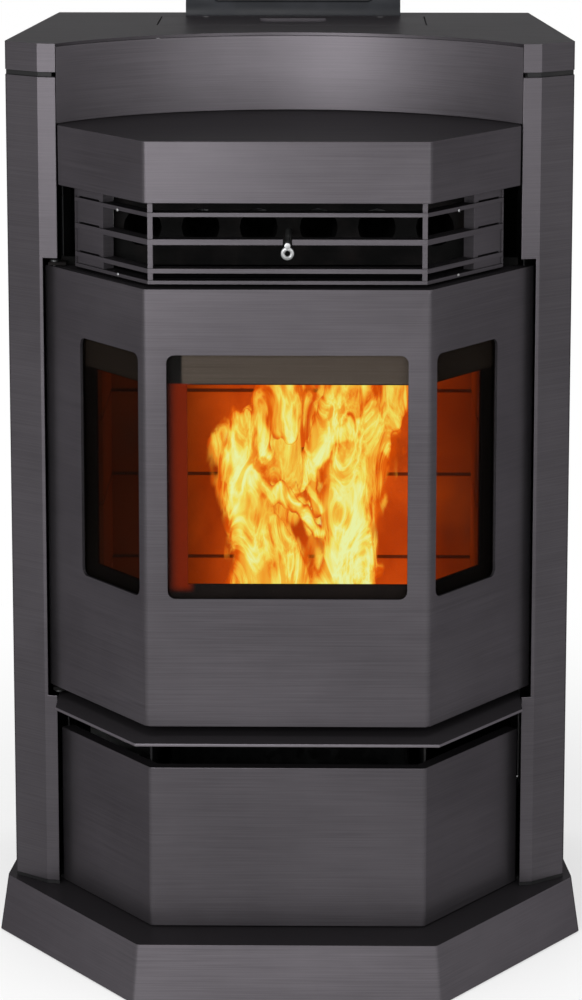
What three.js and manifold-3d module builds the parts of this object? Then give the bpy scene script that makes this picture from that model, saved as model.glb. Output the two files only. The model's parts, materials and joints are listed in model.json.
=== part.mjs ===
// A pellet stove with a three-faced bay front: folded casing, glazed fire door, ash drawer,
// top hopper with its auger, burn pot, heat exchanger and two blowers.
// Sizes are millimetres, +Z is up and +Y runs from the front to the wall behind the stove.
// Pieces are worked out with y = 0 on the fire door's front plane and z = 0 on the floor.

import * as THREE from 'three';
import { mergeVertices } from 'three/addons/utils/BufferGeometryUtils.js';
import Module from 'manifold-3d';

const wasm = await Module();
wasm.setup();

// ---------------------------------------------------------------- driving dimensions

// shared
const GAP = 0.3;                  // clearance between pieces that rest on or pass each other
const FACET_SLOPE = 1.39;         // depth gained per unit of width on the slanted front faces
const OVERCUT = 1;                // how far a shape runs past the face it cuts or joins
const PLAY = 1;                   // room beside pieces that turn or slip in
const SHEET = 2;                  // folded casing sheet
const PLATE = 3;                  // heavier stove plate

// how many sides stand for a round shape
const WIDE_SIDES = 32;
const SCROLL_SIDES = 28;
const BORE_SIDES = 24;
const ROD_SIDES = 20;
const SMALL_SIDES = 16;
const HOLE_SIDES = 8;
const CORNER_STEPS = 5;

// plinth
const PLINTH_FRONT = -47;
const PLINTH_HALF_FRONT = 153;
const PLINTH_HALF_WIDTH = 305;
const PLINTH_TAPER = 29;          // how much narrower each side is at the back
const PLINTH_SETBACK = 8.3;       // how far each face leans in towards its top
const PLINTH_HEIGHT = 60;
const PLINTH_LIFT = 1.5;          // the skirt's gap to the floor
const FOOT_RADIUS = 20;
const FOOT_PAD = 8;
const STEM_RADIUS = 5;
const FOOT_FRONT_X = 130;
const FOOT_FRONT_Y = 10;
const FOOT_BACK_INSET = 70;

// base pan, the dark seam under the casing
const PAN_SEAM = 4;               // height between the plinth and the columns
const PAN_INSET = 0.8;
const PAN_SETBACK = 12;           // behind the ash drawer's front

// side columns and top
const COLUMN_HALF_INNER = 234.5;
const COLUMN_INNER_Y = 136;
const COLUMN_HALF_EDGE = 253;
const COLUMN_EDGE_Y = 139.5;
const COLUMN_HALF_WIDTH = 288;
const COLUMN_CORNER_Y = 166;
const COLUMN_HALF_BACK = 259;
const COLUMN_TOP = 906.5;
const TOP_SEAM = 5;               // dark seam between the columns and the top
const TOP_HEIGHT = 28.5;          // the top plate with its skirt
const SPACER_INSET = 1.2;
const SPACER_WIDTH = 20;
const LOW_COLUMN_STRIP = 13;      // width of the narrow face beside the ash drawer
const DOOR_COLUMN_STRIP = 3.5;    // width of the narrow face beside the fire door

// concave panel and hood
const ARC_DEPTH = 124;            // how far the panel's middle lies behind its ends
const ARC_HALF = 234;
const ARC_END_Y = 138;
const ARC_STEPS = 24;
const HOOD_HALF_FRONT = 139;
const HOOD_HALF_OUTER = 232.4;
const HOOD_FRONT = 0;
const HOOD_LOW = 798.5;
const HOOD_HEIGHT = 60.5;
const HOOD_TAIL = 8;              // the hood's top runs on behind the concave panel
const HOOD_FLANGE = 18;

// warm air grille
const GRILLE_FRONT = 12;
const GRILLE_HALF_FRONT = 136.4;
const GRILLE_REACH = 135;         // along each slanted face
const GRILLE_END_PLATE = 48;      // width of the plate at each outer end
const GRILLE_DEPTH = 16;
const GRILLE_BAR = 2.5;
const SLAT_TOP_Z = 785.6;
const SLAT_TOP_HEIGHT = 4;
const SLAT_MIDDLE_Z = 758.7;
const SLAT_MIDDLE_HEIGHT = 5.5;
const SLAT_LOW_Z = 730.2;
const SLAT_LOW_HEIGHT = 4.5;
const SLAT_LIP_Z = 718.9;
const SLAT_LIP_HEIGHT = 3.5;
const SLAT_NOTCH = 9;
const SLAT_LINE = 1.6;            // slit above each slat across the end plates

// scraper rod
const ROD_RADIUS = 3;
const ROD_Z = 756;
const RING_RADIUS = 4.6;
const RING_WIRE = 2.25;
const RING_Y = 6;
const SCRAPER_Y = 240;
const SCRAPER_HOLE_GAP = 0.6;

// fire door
const DOOR_HALF_FRONT = 140;
const DOOR_HALF_OUTER = 248;
const DOOR_LOW = 273.6;
const DOOR_HEIGHT = 440.4;
const DOOR_OPENING_INSET = 43;
const DOOR_RIM = 26;              // height of the rear frame above and below its opening
const WINDOW_HALF = 118.3;
const WINDOW_LOW = 404;
const WINDOW_HEIGHT = 245;
const WINDOW_RADIUS = 8;
const SIDE_WINDOW_START = 11;
const SIDE_WINDOW_WIDTH = 108;
const GLASS = 5;
const GLASS_LAP = 7;
const RETAINER_BAND = 31;         // air-wash band along the windows' tops
const RETAINER_SILL = 13;
const RETAINER_JAMB = 20;
const RETAINER_SIDE_JAMB = 15;
const GASKET_WIDTH = 13;
const GASKET_DEPTH = 3.6;
const GASKET_INSET = 16;
const GASKET_RIM = 10;            // height of the gasket's level runs
const HINGE_INSET = 10;
const HINGE_DEPTH = 5.52;        // hinge axis in front of the door's rear face
const HINGE_RADIUS = 2.5;
const HINGE_HEAD = 5;
const HINGE_BITE = 9;             // how far each pin reaches into the door
const EAR = 3;
const CATCH_HEIGHT = 30;

// ledge and ash drawer
const LEDGE_FRONT = -24;
const LEDGE_HALF_FRONT = 150.5;
const LEDGE_HALF_OUTER = 239;
const LEDGE_TOP = 263;
const LEDGE_TAIL = 2;            // behind the ash compartment
const ASH_FRONT = 12;
const ASH_HALF_FRONT = 137.5;
const ASH_HALF_OUTER = 236.7;
const ASH_LOW = 61.5;
const ASH_HEIGHT = 165.5;
const ASH_FLANGE = 14;
const ASH_LOW_FLANGE = 8;
const ASH_PAN_HALF = 125;
const ASH_PAN_LENGTH = 296;
const ASH_PAN_HEIGHT = 122;
const CHASSIS_HALF = 139;
const CHASSIS_FRONT = 45;
const PAN_ROOM = 19.7;            // behind the ash pan
const CHASSIS_MARGIN = 5;         // behind the firebox
const RUNNER_WIDTH = 34;
const RUNNER_HEIGHT = 3.7;

// firebox
const BOX_HALF = 212;
const BOX_DEPTH = 170.68;
const BOX_HEIGHT = 458.4;
const BOX_MOUTH_LOW = 285;
const BOX_MOUTH_HIGH = 700;
const BRICK_SIDE = 16.7;
const BRICK_BACK = 21.7;
const BRICK_TOP = 689.7;
const BRICK_COURSE = 91;          // height of one course of firebricks
const BRICK_FIRST_JOINT = 372;
const BRICK_JOINT = 3;
const BRICK_JOINT_DEPTH = 2;
const BRICK_LENGTH = 139;
const BAFFLE = 4;
const FLUE_HALF = 185;
const FLUE_FRONT_INSET = 125;    // in front of the firebox's rear wall
const FLUE_BACK_INSET = 35;

// heat exchanger
const EXCHANGER_HALF = 175;
const EXCHANGER_FRONT = 102;
const EXCHANGER_BACK_INSET = 22;
const TUBE_RADIUS = 21;
const TUBE_FIRST = 30;
const TUBE_PITCH = 58;
const TUBE_PAIRS = 3;
const TUBE_Z = 760;
const TUBE_SIDES = 16;

// burn pot
const POT_INSET = 75;            // pot's middle in front of the firebox's rear wall
const POT_HALF = 36;
const POT_LOW = 270;
const POT_HEIGHT = 65;
const POT_RIM = 8;
const HOLDER_TOP = 289;
const HOLDER_HALF = 110;
const HOLDER_FRONT_REACH = 60;   // from the pot's middle
const HOLDER_BACK_REACH = 48;
const POT_HOLE = 3;
const IGNITER_RADIUS = 5;
const IGNITER_Z = 301;
const IGNITER_LENGTH = 62;

// auger and hopper
const AUGER_LOW_Z = 382.7;
const AUGER_LENGTH = 150;
const AUGER_TILT = 60;            // degrees above level
const AUGER_TUBE_RADIUS = 30;
const AUGER_RADIUS = 24;
const AUGER_SHAFT = 6;
const AUGER_PITCH = 36;
const AUGER_FLIGHT = 3;
const CHUTE_HALF = 27;
const CHUTE_LOW = 455;
const CHUTE_HEIGHT = 40;
const SPOUT_HALF = 24;
const SPOUT_DEPTH = 37;
const SPOUT_TOP = 520;
const HOPPER_HALF = 200;
const HOPPER_DEPTH = 151;
const HOPPER_LOW = 640;
const HOPPER_HIGH = 870;
const COLLAR_Z = 930;
const GEARBOX_HALF = 27;
const GEARBOX_LENGTH = 34;
const AUGER_MOTOR_RADIUS = 24;
const AUGER_MOTOR_LENGTH = 25;

// hopper lid
const LID_HALF = 142;
const LID_DEPTH = 103;
const LID_SEAM = 1.5;
const LID_REAR_SEAM = 2;
const LID_AXIS_DROP = 4;          // hinge axis below the top surface
const LID_PIN = 1.6;
const LID_KNUCKLE = 3.8;
const LID_EAR_X = 95;
const LID_EAR = 5;
const CUP_HALF = 36;
const CUP_LENGTH = 40;
const CUP_DEPTH = 16;
const SEAL_WIDTH = 8;
const SEAL_HALF = 138;
const SEAL_DEPTH = 89;

// console
const CONSOLE_HALF = 117;
const CONSOLE_STEP = 13;
const CONSOLE_HEIGHT = 50;
const CONSOLE_SHELF = 17;
const KEYPAD_HALF = 87;
const KEYPAD_MARGIN = 3;
const KEYPAD_THICKNESS = 2;
const BUTTON_COUNT = 4;
const BUTTON_PITCH = 40;
const BUTTON_HALF_WIDTH = 8;
const BUTTON_HALF_HEIGHT = 6;
const BUTTON_RISE = 4.3;
const BUTTON_ROOT = 1.2;
const BUTTON_CORNER = 2;
const BUTTON_CORNER_STEPS = 3;

// blowers and pipes
const CONVECTION_Z = 150;
const CONVECTION_RADIUS = 60;
const CONVECTION_HALF = 44;
const CONVECTION_WHEEL = 48;
const CONVECTION_INLET = 38;
const CONVECTION_DUCT_TOP = 256;
const CONVECTION_DUCT_DEPTH = 42;
const CONVECTION_MOTOR_RADIUS = 32;
const CONVECTION_MOTOR_LENGTH = 52;
const EXHAUST_X = 150;
const EXHAUST_Z = 175;
const EXHAUST_PIPE_RADIUS = 38;
const EXHAUST_AXIS_Z = 151;
const EXHAUST_RADIUS = 62;
const EXHAUST_WHEEL = 50;
const EXHAUST_INLET = 28;
const EXHAUST_MOTOR_RADIUS = 28;
const EXHAUST_MOTOR_LENGTH = 50;
const FLUE_DUCT_WIDTH = 34;
const FLUE_DUCT_HALF_DEPTH = 40;
const FLUE_DUCT_LOW = 105;
const FLUE_DUCT_HIGH = 330;
const FLUE_DUCT_ARM_LOW = 280;
const INTAKE_X = 150;
const INTAKE_Z = 300;
const INTAKE_RADIUS = 25;
const MOTOR_SHAFT = 4;
const BLADE = 1.6;
const WHEEL_BLADES = 16;
const EXHAUST_BLADES = 8;
const LOUVRE_COUNT = 9;
const LOUVRE_PITCH = 14;
const LOUVRE_HEIGHT = 6;
const LOUVRE_HALF = 60;
const LOUVRE_LOW = 112;
const INLET_X = 150;
const INLET_Z = 110;
const INLET_HALF_WIDTH = 14;
const INLET_HALF_HEIGHT = 11;
const INLET_RIM = 4;
const INLET_DEPTH = 24;
const INLET_BLADE = 2;

// how far behind the ash compartment the pieces in the rear stand
const REAR_SPACE = 167;
const FOOT_SPACE = 110;
const AUGER_SPACE = 110;
const SPOUT_SPACE = 80;
const HOPPER_SPACE = 5;
const LID_SPACE = 15;
const LID_AXIS_SPACE = 114;
const CUP_SPACE = 54;
const SEAL_SPACE = 19;
const CONSOLE_SPACE = 122;
const CONVECTION_SPACE = 75;
const EXHAUST_PIPE_SPACE = 227;
const EXHAUST_SPACE = 68;
const EXHAUST_OUTLET_SPACE = 138;
const INTAKE_SPACE = 185;

// ---------------------------------------------------------------- places worked out from them

const FACET_LENGTH = Math.hypot(1, FACET_SLOPE);
const FACET_X = 1 / FACET_LENGTH;
const FACET_Y = FACET_SLOPE / FACET_LENGTH;
const CASING_LOW = PLINTH_HEIGHT + PAN_SEAM;
const TOP_LOW = COLUMN_TOP + TOP_SEAM;
const TOP_Z = TOP_LOW + TOP_HEIGHT;
const TOP_UNDER = TOP_Z - PLATE;
const HOOD_TOP = HOOD_LOW + HOOD_HEIGHT;
const DOOR_TOP = DOOR_LOW + DOOR_HEIGHT;
const DOOR_BACK = (DOOR_HALF_OUTER - DOOR_HALF_FRONT) * FACET_SLOPE;
const BOX_FRONT = DOOR_BACK + GASKET_DEPTH + 2 * GAP;
const BOX_BACK = BOX_FRONT + BOX_DEPTH;
const PAN_FRONT = ASH_FRONT + SHEET + GAP;
const PAN_BACK = PAN_FRONT + ASH_PAN_LENGTH;
// The ash compartment ends behind the firebox or the ash pan, whichever reaches further back.
const CHASSIS_BACK = Math.max(BOX_BACK + CHASSIS_MARGIN, PAN_BACK + PAN_ROOM);
const LEDGE_BACK = CHASSIS_BACK + LEDGE_TAIL;
const BACK = CHASSIS_BACK + REAR_SPACE;
const FOOT_BACK_Y = CHASSIS_BACK + FOOT_SPACE;
const AUGER_LOW_Y = CHASSIS_BACK + AUGER_SPACE;
const SPOUT_FRONT = CHASSIS_BACK + SPOUT_SPACE;
const HOPPER_FRONT = CHASSIS_BACK + HOPPER_SPACE;
const LID_FRONT = CHASSIS_BACK + LID_SPACE;
const LID_AXIS_Y = CHASSIS_BACK + LID_AXIS_SPACE;
const CUP_FRONT = CHASSIS_BACK + CUP_SPACE;
const SEAL_FRONT = CHASSIS_BACK + SEAL_SPACE;
const CONSOLE_FRONT = CHASSIS_BACK + CONSOLE_SPACE;
const CONVECTION_Y = CHASSIS_BACK + CONVECTION_SPACE;
const EXHAUST_PIPE_END = CHASSIS_BACK + EXHAUST_PIPE_SPACE;
const EXHAUST_AXIS_Y = CHASSIS_BACK + EXHAUST_SPACE;
const EXHAUST_OUTLET_BACK = CHASSIS_BACK + EXHAUST_OUTLET_SPACE;
const INTAKE_END = CHASSIS_BACK + INTAKE_SPACE;
const SPOUT_BACK = SPOUT_FRONT + SPOUT_DEPTH;
const HOPPER_BACK = HOPPER_FRONT + HOPPER_DEPTH;
const LID_BACK = LID_FRONT + LID_DEPTH;
const SEAL_BACK = SEAL_FRONT + SEAL_DEPTH;
const CENTRE_Y = (PLINTH_FRONT + EXHAUST_PIPE_END) / 2;
const PLINTH_HALF_BACK = PLINTH_HALF_WIDTH - PLINTH_TAPER;
const FOOT_BACK_X = PLINTH_HALF_WIDTH - FOOT_BACK_INSET;
const DOOR_OPENING_HALF = DOOR_HALF_OUTER - DOOR_OPENING_INSET;
const GASKET_HALF = DOOR_HALF_OUTER - GASKET_INSET;
const HINGE_X = DOOR_HALF_OUTER - HINGE_INSET;
const HINGE_Y = DOOR_BACK - HINGE_DEPTH;
const FLUE_FRONT = BOX_BACK - FLUE_FRONT_INSET;
const FLUE_BACK = BOX_BACK - FLUE_BACK_INSET;
const EXCHANGER_BACK = BOX_BACK - EXCHANGER_BACK_INSET;
const POT_Y = BOX_BACK - POT_INSET;
const HOLDER_FRONT = POT_Y - HOLDER_FRONT_REACH;
const HOLDER_BACK = POT_Y + HOLDER_BACK_REACH;
const BOX_LOW = LEDGE_TOP + GAP;
const BOX_TOP = BOX_LOW + BOX_HEIGHT;
const BRICK_LOW = BOX_LOW + PLATE + GAP;
const BRICK_BACK_FRONT = BOX_BACK - PLATE - GAP - BRICK_BACK;
const BRICK_SIDE_FACE = BOX_HALF - PLATE - GAP - BRICK_SIDE;
const CHUTE_TOP = CHUTE_LOW + CHUTE_HEIGHT;
const ARC_RADIUS = (ARC_HALF ** 2 + ARC_DEPTH ** 2) / (2 * ARC_DEPTH);
const ARC_CENTRE_Y = ARC_END_Y + ARC_DEPTH - ARC_RADIUS;
const LID_AXIS_Z = TOP_Z - LID_AXIS_DROP;
const REAR_INSIDE = BACK - SHEET;

// ---------------------------------------------------------------- outlines

// A point on the narrow, almost front-facing strip of a side column.
function columnStrip(x) {
  const share = (x - COLUMN_HALF_INNER) / (COLUMN_HALF_EDGE - COLUMN_HALF_INNER);
  return [x, COLUMN_INNER_Y + share * (COLUMN_EDGE_Y - COLUMN_INNER_Y)];
}

// The casing's outline on the right side, from the column's inner edge to the back.
function columnLine(startX) {
  return [
    columnStrip(startX),
    [COLUMN_HALF_EDGE, COLUMN_EDGE_Y],
    [COLUMN_HALF_WIDTH, COLUMN_CORNER_Y],
    [COLUMN_HALF_BACK, BACK],
  ];
}

// A bay: slanted face, front face, slanted face, drawn from left to right.
function bayLine(halfFront, front, halfOuter) {
  const outerY = front + (halfOuter - halfFront) * FACET_SLOPE;
  return [[-halfOuter, outerY], [-halfFront, front], [halfFront, front], [halfOuter, outerY]];
}

function mirrored(points) {
  return points.map(([x, y]) => [-x, y]).reverse();
}

// The open line moved sideways, to the left of its direction, with mitred corners.
function offsetLine(line, distance) {
  const normals = [];
  for (let i = 0; i + 1 < line.length; i += 1) {
    const dx = line[i + 1][0] - line[i][0];
    const dy = line[i + 1][1] - line[i][1];
    const length = Math.hypot(dx, dy);
    normals.push([-dy / length, dx / length]);
  }
  return line.map(([x, y], i) => {
    const before = normals[Math.max(i - 1, 0)];
    const after = normals[Math.min(i, normals.length - 1)];
    const stretch = 1 + before[0] * after[0] + before[1] * after[1];
    const moveX = ((before[0] + after[0]) * distance) / stretch;
    const moveY = ((before[1] + after[1]) * distance) / stretch;
    return [x + moveX, y + moveY];
  });
}

// A sheet seen on edge: the closed outline between two offsets of one line.
function strip(line, near, far) {
  return [...offsetLine(line, near), ...offsetLine(line, far).reverse()];
}

function rectangle(left, right, low, high) {
  return [[left, low], [right, low], [right, high], [left, high]];
}

function roundedRectangle(left, right, low, high, radius, steps = CORNER_STEPS) {
  const corners = [
    [right - radius, high - radius, 0],
    [left + radius, high - radius, 1],
    [left + radius, low + radius, 2],
    [right - radius, low + radius, 3],
  ];
  const points = [];
  for (const [x, y, quarter] of corners) {
    for (let i = 0; i <= steps; i += 1) {
      const angle = ((quarter + i / steps) * Math.PI) / 2;
      points.push([x + radius * Math.cos(angle), y + radius * Math.sin(angle)]);
    }
  }
  return points;
}

function circle(radius, sides = WIDE_SIDES, x = 0, y = 0) {
  const points = [];
  for (let i = 0; i < sides; i += 1) {
    const angle = (i / sides) * 2 * Math.PI;
    points.push([x + radius * Math.cos(angle), y + radius * Math.sin(angle)]);
  }
  return points;
}

// The concave panel's arc from right to left, its radius made larger by extra.
function panelArc(extra, halfWidth = ARC_HALF) {
  const radius = ARC_RADIUS + extra;
  const reach = Math.asin(halfWidth / radius);
  const points = [];
  for (let i = 0; i <= ARC_STEPS; i += 1) {
    const angle = reach - (2 * reach * i) / ARC_STEPS;
    points.push([radius * Math.sin(angle), ARC_CENTRE_Y + radius * Math.cos(angle)]);
  }
  return points;
}

// ---------------------------------------------------------------- solids

function solidOf(geometry) {
  const bare = geometry.clone();
  bare.deleteAttribute('normal');
  bare.deleteAttribute('uv');
  const merged = mergeVertices(bare);
  const vertProperties = new Float32Array(merged.attributes.position.array);
  const triVerts = new Uint32Array(merged.index.array);
  if (signedVolume(vertProperties, triVerts) < 0) {
    for (let i = 0; i < triVerts.length; i += 3) {
      [triVerts[i], triVerts[i + 1]] = [triVerts[i + 1], triVerts[i]];
    }
  }
  return new wasm.Manifold(new wasm.Mesh({ numProp: 3, vertProperties, triVerts }));
}

function signedVolume(vertices, triangles) {
  const corners = [new THREE.Vector3(), new THREE.Vector3(), new THREE.Vector3()];
  let volume = 0;
  for (let i = 0; i < triangles.length; i += 3) {
    corners.forEach((corner, k) => corner.fromArray(vertices, 3 * triangles[i + k]));
    volume += corners[0].dot(corners[1].cross(corners[2])) / 6;
  }
  return volume;
}

function geometryOf(solid) {
  const mesh = solid.getMesh();
  const geometry = new THREE.BufferGeometry();
  geometry.setAttribute('position', new THREE.BufferAttribute(mesh.vertProperties, 3));
  geometry.setIndex(new THREE.BufferAttribute(mesh.triVerts, 1));
  geometry.computeVertexNormals();
  return geometry;
}

// How an extruded outline (a, b), drawn out along c, lies in space.
const UP = (a, b, c) => [a, b, c];
const ACROSS = (a, b, c) => [c, a, b];
const BACKWARDS = (a, b, c) => [a, c, b];

function mapped(geometry, place) {
  const position = geometry.attributes.position;
  for (let i = 0; i < position.count; i += 1) {
    position.setXYZ(i, ...place(position.getX(i), position.getY(i), position.getZ(i)));
  }
  return geometry;
}

function extruded(outline, low, high, place = UP) {
  const shape = new THREE.Shape(outline.map(([a, b]) => new THREE.Vector2(a, b)));
  const geometry = new THREE.ExtrudeGeometry(shape, { depth: high - low, bevelEnabled: false });
  geometry.translate(0, 0, low);
  return solidOf(mapped(geometry, place));
}

function box(left, right, front, back, low, high) {
  return extruded(rectangle(left, right, front, back), low, high);
}

function symmetricBox(half, front, back, low, high) {
  return box(-half, half, front, back, low, high);
}

// An outline drawn on a bay's slanted face: a runs from the bend outwards, b is height,
// and near and far are depths behind the face. Side is 1 on the right and -1 on the left.
function onFacet(side, halfFront, front, outline, near, far) {
  return extruded(outline, near, far, (a, b, c) => [
    side * (halfFront + a * FACET_X - c * FACET_Y),
    front + a * FACET_Y + c * FACET_X,
    b,
  ]);
}

function rod(radius, from, to, sides = ROD_SIDES) {
  const start = new THREE.Vector3(...from);
  const end = new THREE.Vector3(...to);
  const length = start.distanceTo(end);
  const geometry = new THREE.CylinderGeometry(radius, radius, length, sides);
  const turn = new THREE.Quaternion();
  turn.setFromUnitVectors(new THREE.Vector3(0, 1, 0), end.clone().sub(start).normalize());
  geometry.applyQuaternion(turn);
  geometry.translate(...start.add(end).multiplyScalar(0.5).toArray());
  return solidOf(geometry);
}

// A closed solid between two outlines of as many points each.
function loft(lowOutline, low, highOutline, high) {
  const count = lowOutline.length;
  const turned = THREE.ShapeUtils.area(lowOutline.map(([x, y]) => new THREE.Vector2(x, y))) < 0;
  const [lowRing, highRing] = turned
    ? [lowOutline.toReversed(), highOutline.toReversed()]
    : [lowOutline, highOutline];
  const positions = [
    ...lowRing.flatMap(([x, y]) => [x, y, low]),
    ...highRing.flatMap(([x, y]) => [x, y, high]),
  ];
  const faces = [];
  for (let i = 0; i < count; i += 1) {
    const next = (i + 1) % count;
    faces.push(i, next, next + count, i, next + count, i + count);
  }
  const contour = lowRing.map(([x, y]) => new THREE.Vector2(x, y));
  for (const [a, b, c] of THREE.ShapeUtils.triangulateShape(contour, [])) {
    faces.push(c, b, a, a + count, b + count, c + count);
  }
  const geometry = new THREE.BufferGeometry();
  geometry.setAttribute('position', new THREE.Float32BufferAttribute(positions, 3));
  geometry.setIndex(faces);
  return solidOf(geometry);
}

function joined(...solids) {
  return solids.reduce((whole, solid) => whole.add(solid));
}

function cut(solid, ...tools) {
  return tools.reduce((rest, tool) => rest.subtract(tool), solid);
}

// ---------------------------------------------------------------- finishes and the scene

function finish(color, roughness, metalness) {
  return () => new THREE.MeshStandardMaterial({ color, roughness, metalness });
}

const charcoal = finish(0x4b484e, 0.42, 0.75);
const blackSheet = finish(0x161617, 0.7, 0.3);
const steel = finish(0x9a9b9d, 0.35, 0.9);
const castIron = finish(0x2c2a2a, 0.7, 0.5);
const firebrick = finish(0xa8623c, 0.9, 0);
const fibre = finish(0xb9b4a6, 0.95, 0);
const ceramicGlass = finish(0x3a2a22, 0.05, 0);
const blackPlastic = finish(0x101012, 0.5, 0);
const greyPlastic = finish(0x8a909a, 0.45, 0);
const aluminium = finish(0xb4b6b8, 0.4, 0.85);

const stove = new THREE.Group();
stove.position.y = -CENTRE_Y;

function bodyGroup() {
  const group = new THREE.Group();
  stove.add(group);
  return group;
}

const casing = bodyGroup();
const fireDoor = bodyGroup();
const ashDrawer = bodyGroup();
const lid = bodyGroup();
const running = bodyGroup();

function addPiece(group, name, solid, material) {
  const mesh = new THREE.Mesh(geometryOf(solid), material());
  mesh.name = name;
  group.add(mesh);
}

// ---------------------------------------------------------------- plinth and base pan

function plinthOutline(inset) {
  const outerY = PLINTH_FRONT + (PLINTH_HALF_WIDTH - PLINTH_HALF_FRONT) * FACET_SLOPE;
  const half = [
    [PLINTH_HALF_FRONT, PLINTH_FRONT],
    [PLINTH_HALF_WIDTH, outerY],
    [PLINTH_HALF_BACK, BACK],
  ];
  const [bend, outer, back] = offsetLine([[0, PLINTH_FRONT], ...half], inset).slice(1);
  const side = (outer[0] - back[0]) / (outer[1] - back[1]);
  const rear = [outer[0] + side * (BACK - outer[1]), BACK];
  return [bend, outer, rear, ...mirrored([bend, outer, rear])];
}

function plinth() {
  const shell = loft(plinthOutline(0), PLINTH_LIFT, plinthOutline(PLINTH_SETBACK), PLINTH_HEIGHT);
  const lean = PLINTH_SETBACK / (PLINTH_HEIGHT - PLINTH_LIFT);
  const insideTop = PLINTH_HEIGHT - PLATE;
  const insideLow = plinthOutline(PLATE).map(([x, y]) => [x, Math.min(y, BACK - PLATE)]);
  const topInset = PLATE + PLINTH_SETBACK - lean * PLATE;
  const insideHigh = plinthOutline(topInset).map(([x, y]) => [x, Math.min(y, BACK - PLATE)]);
  const below = loft(insideLow, PLINTH_LIFT - OVERCUT, insideLow, PLINTH_LIFT + OVERCUT);
  return cut(shell, loft(insideLow, PLINTH_LIFT, insideHigh, insideTop), below);
}

function levellingFoot(x, y) {
  const stemTop = PLINTH_HEIGHT - PLATE - GAP;
  return joined(
    rod(FOOT_RADIUS, [x, y, 0], [x, y, FOOT_PAD]),
    rod(STEM_RADIUS, [x, y, FOOT_PAD - OVERCUT], [x, y, stemTop], SMALL_SIDES),
  );
}

function basePan() {
  const bay = bayLine(ASH_HALF_FRONT, ASH_FRONT, ASH_HALF_OUTER);
  const [bend, end] = offsetLine(bay, PAN_SETBACK).slice(2);
  const side = offsetLine(columnLine(COLUMN_HALF_EDGE - LOW_COLUMN_STRIP), PAN_INSET);
  const step = [side[0][0], end[1]];
  const half = [bend, end, step, side[0], side[1], side[2], [side[3][0], BACK - PAN_INSET]];
  return extruded([...half, ...mirrored(half)], PLINTH_HEIGHT + GAP, CASING_LOW - GAP);
}

addPiece(casing, 'plinth', plinth(), charcoal);
[[-1, FOOT_FRONT_X, FOOT_FRONT_Y], [1, FOOT_FRONT_X, FOOT_FRONT_Y],
  [-1, FOOT_BACK_X, FOOT_BACK_Y], [1, FOOT_BACK_X, FOOT_BACK_Y]].forEach(([side, x, y], i) => {
  addPiece(casing, `levelling_foot_${i + 1}`, levellingFoot(side * x, y), blackPlastic);
});
addPiece(casing, 'base_pan', basePan(), blackSheet);

// ---------------------------------------------------------------- side columns and rear panel

// One folded side panel: full narrow face above the fire door, a thin strip beside the door
// and a middle-sized one beside the ash drawer.
function sidePanel(side) {
  const notchLow = LEDGE_TOP + 3;
  const notchHigh = SLAT_LIP_Z + SLAT_LIP_HEIGHT;
  const lowStart = COLUMN_HALF_EDGE - LOW_COLUMN_STRIP;
  const doorStart = COLUMN_HALF_EDGE - DOOR_COLUMN_STRIP;
  const whole = strip(columnLine(COLUMN_HALF_INNER), 0, SHEET);
  const aroundFace = [COLUMN_INNER_Y - SHEET, COLUMN_CORNER_Y];
  const panel = cut(
    extruded(whole, CASING_LOW, COLUMN_TOP),
    box(COLUMN_HALF_INNER - SHEET, lowStart, ...aroundFace, CASING_LOW - SHEET, notchLow),
    box(COLUMN_HALF_INNER - SHEET, doorStart, ...aroundFace, notchLow - SHEET, notchHigh),
  );
  return side > 0 ? panel : solidOf(mapped(geometryOf(panel), (x, y, z) => [-x, y, z]));
}

function rearPanel() {
  const half = COLUMN_HALF_BACK - SHEET - PLAY;
  const plate = symmetricBox(half, REAR_INSIDE - GAP, BACK - GAP, CASING_LOW, COLUMN_TOP);
  const through = [REAR_INSIDE - SHEET, BACK + SHEET];
  const louvres = [];
  for (let i = 0; i < LOUVRE_COUNT; i += 1) {
    const low = LOUVRE_LOW + i * LOUVRE_PITCH;
    louvres.push(symmetricBox(LOUVRE_HALF, ...through, low, low + LOUVRE_HEIGHT));
  }
  const exhaust = circle(EXHAUST_PIPE_RADIUS + GAP, WIDE_SIDES, -EXHAUST_X, EXHAUST_Z);
  const intake = circle(INTAKE_RADIUS + GAP, BORE_SIDES, INTAKE_X, INTAKE_Z);
  return cut(
    plate,
    ...louvres,
    extruded(exhaust, ...through, BACKWARDS),
    extruded(intake, ...through, BACKWARDS),
    box(
      INLET_X - INLET_HALF_WIDTH - GAP, INLET_X + INLET_HALF_WIDTH + GAP, ...through,
      INLET_Z - INLET_HALF_HEIGHT - GAP, INLET_Z + INLET_HALF_HEIGHT + GAP,
    ),
  );
}

addPiece(casing, 'side_panel_left', sidePanel(-1), charcoal);
addPiece(casing, 'side_panel_right', sidePanel(1), charcoal);
addPiece(casing, 'rear_panel', rearPanel(), blackSheet);

// ---------------------------------------------------------------- top

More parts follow.
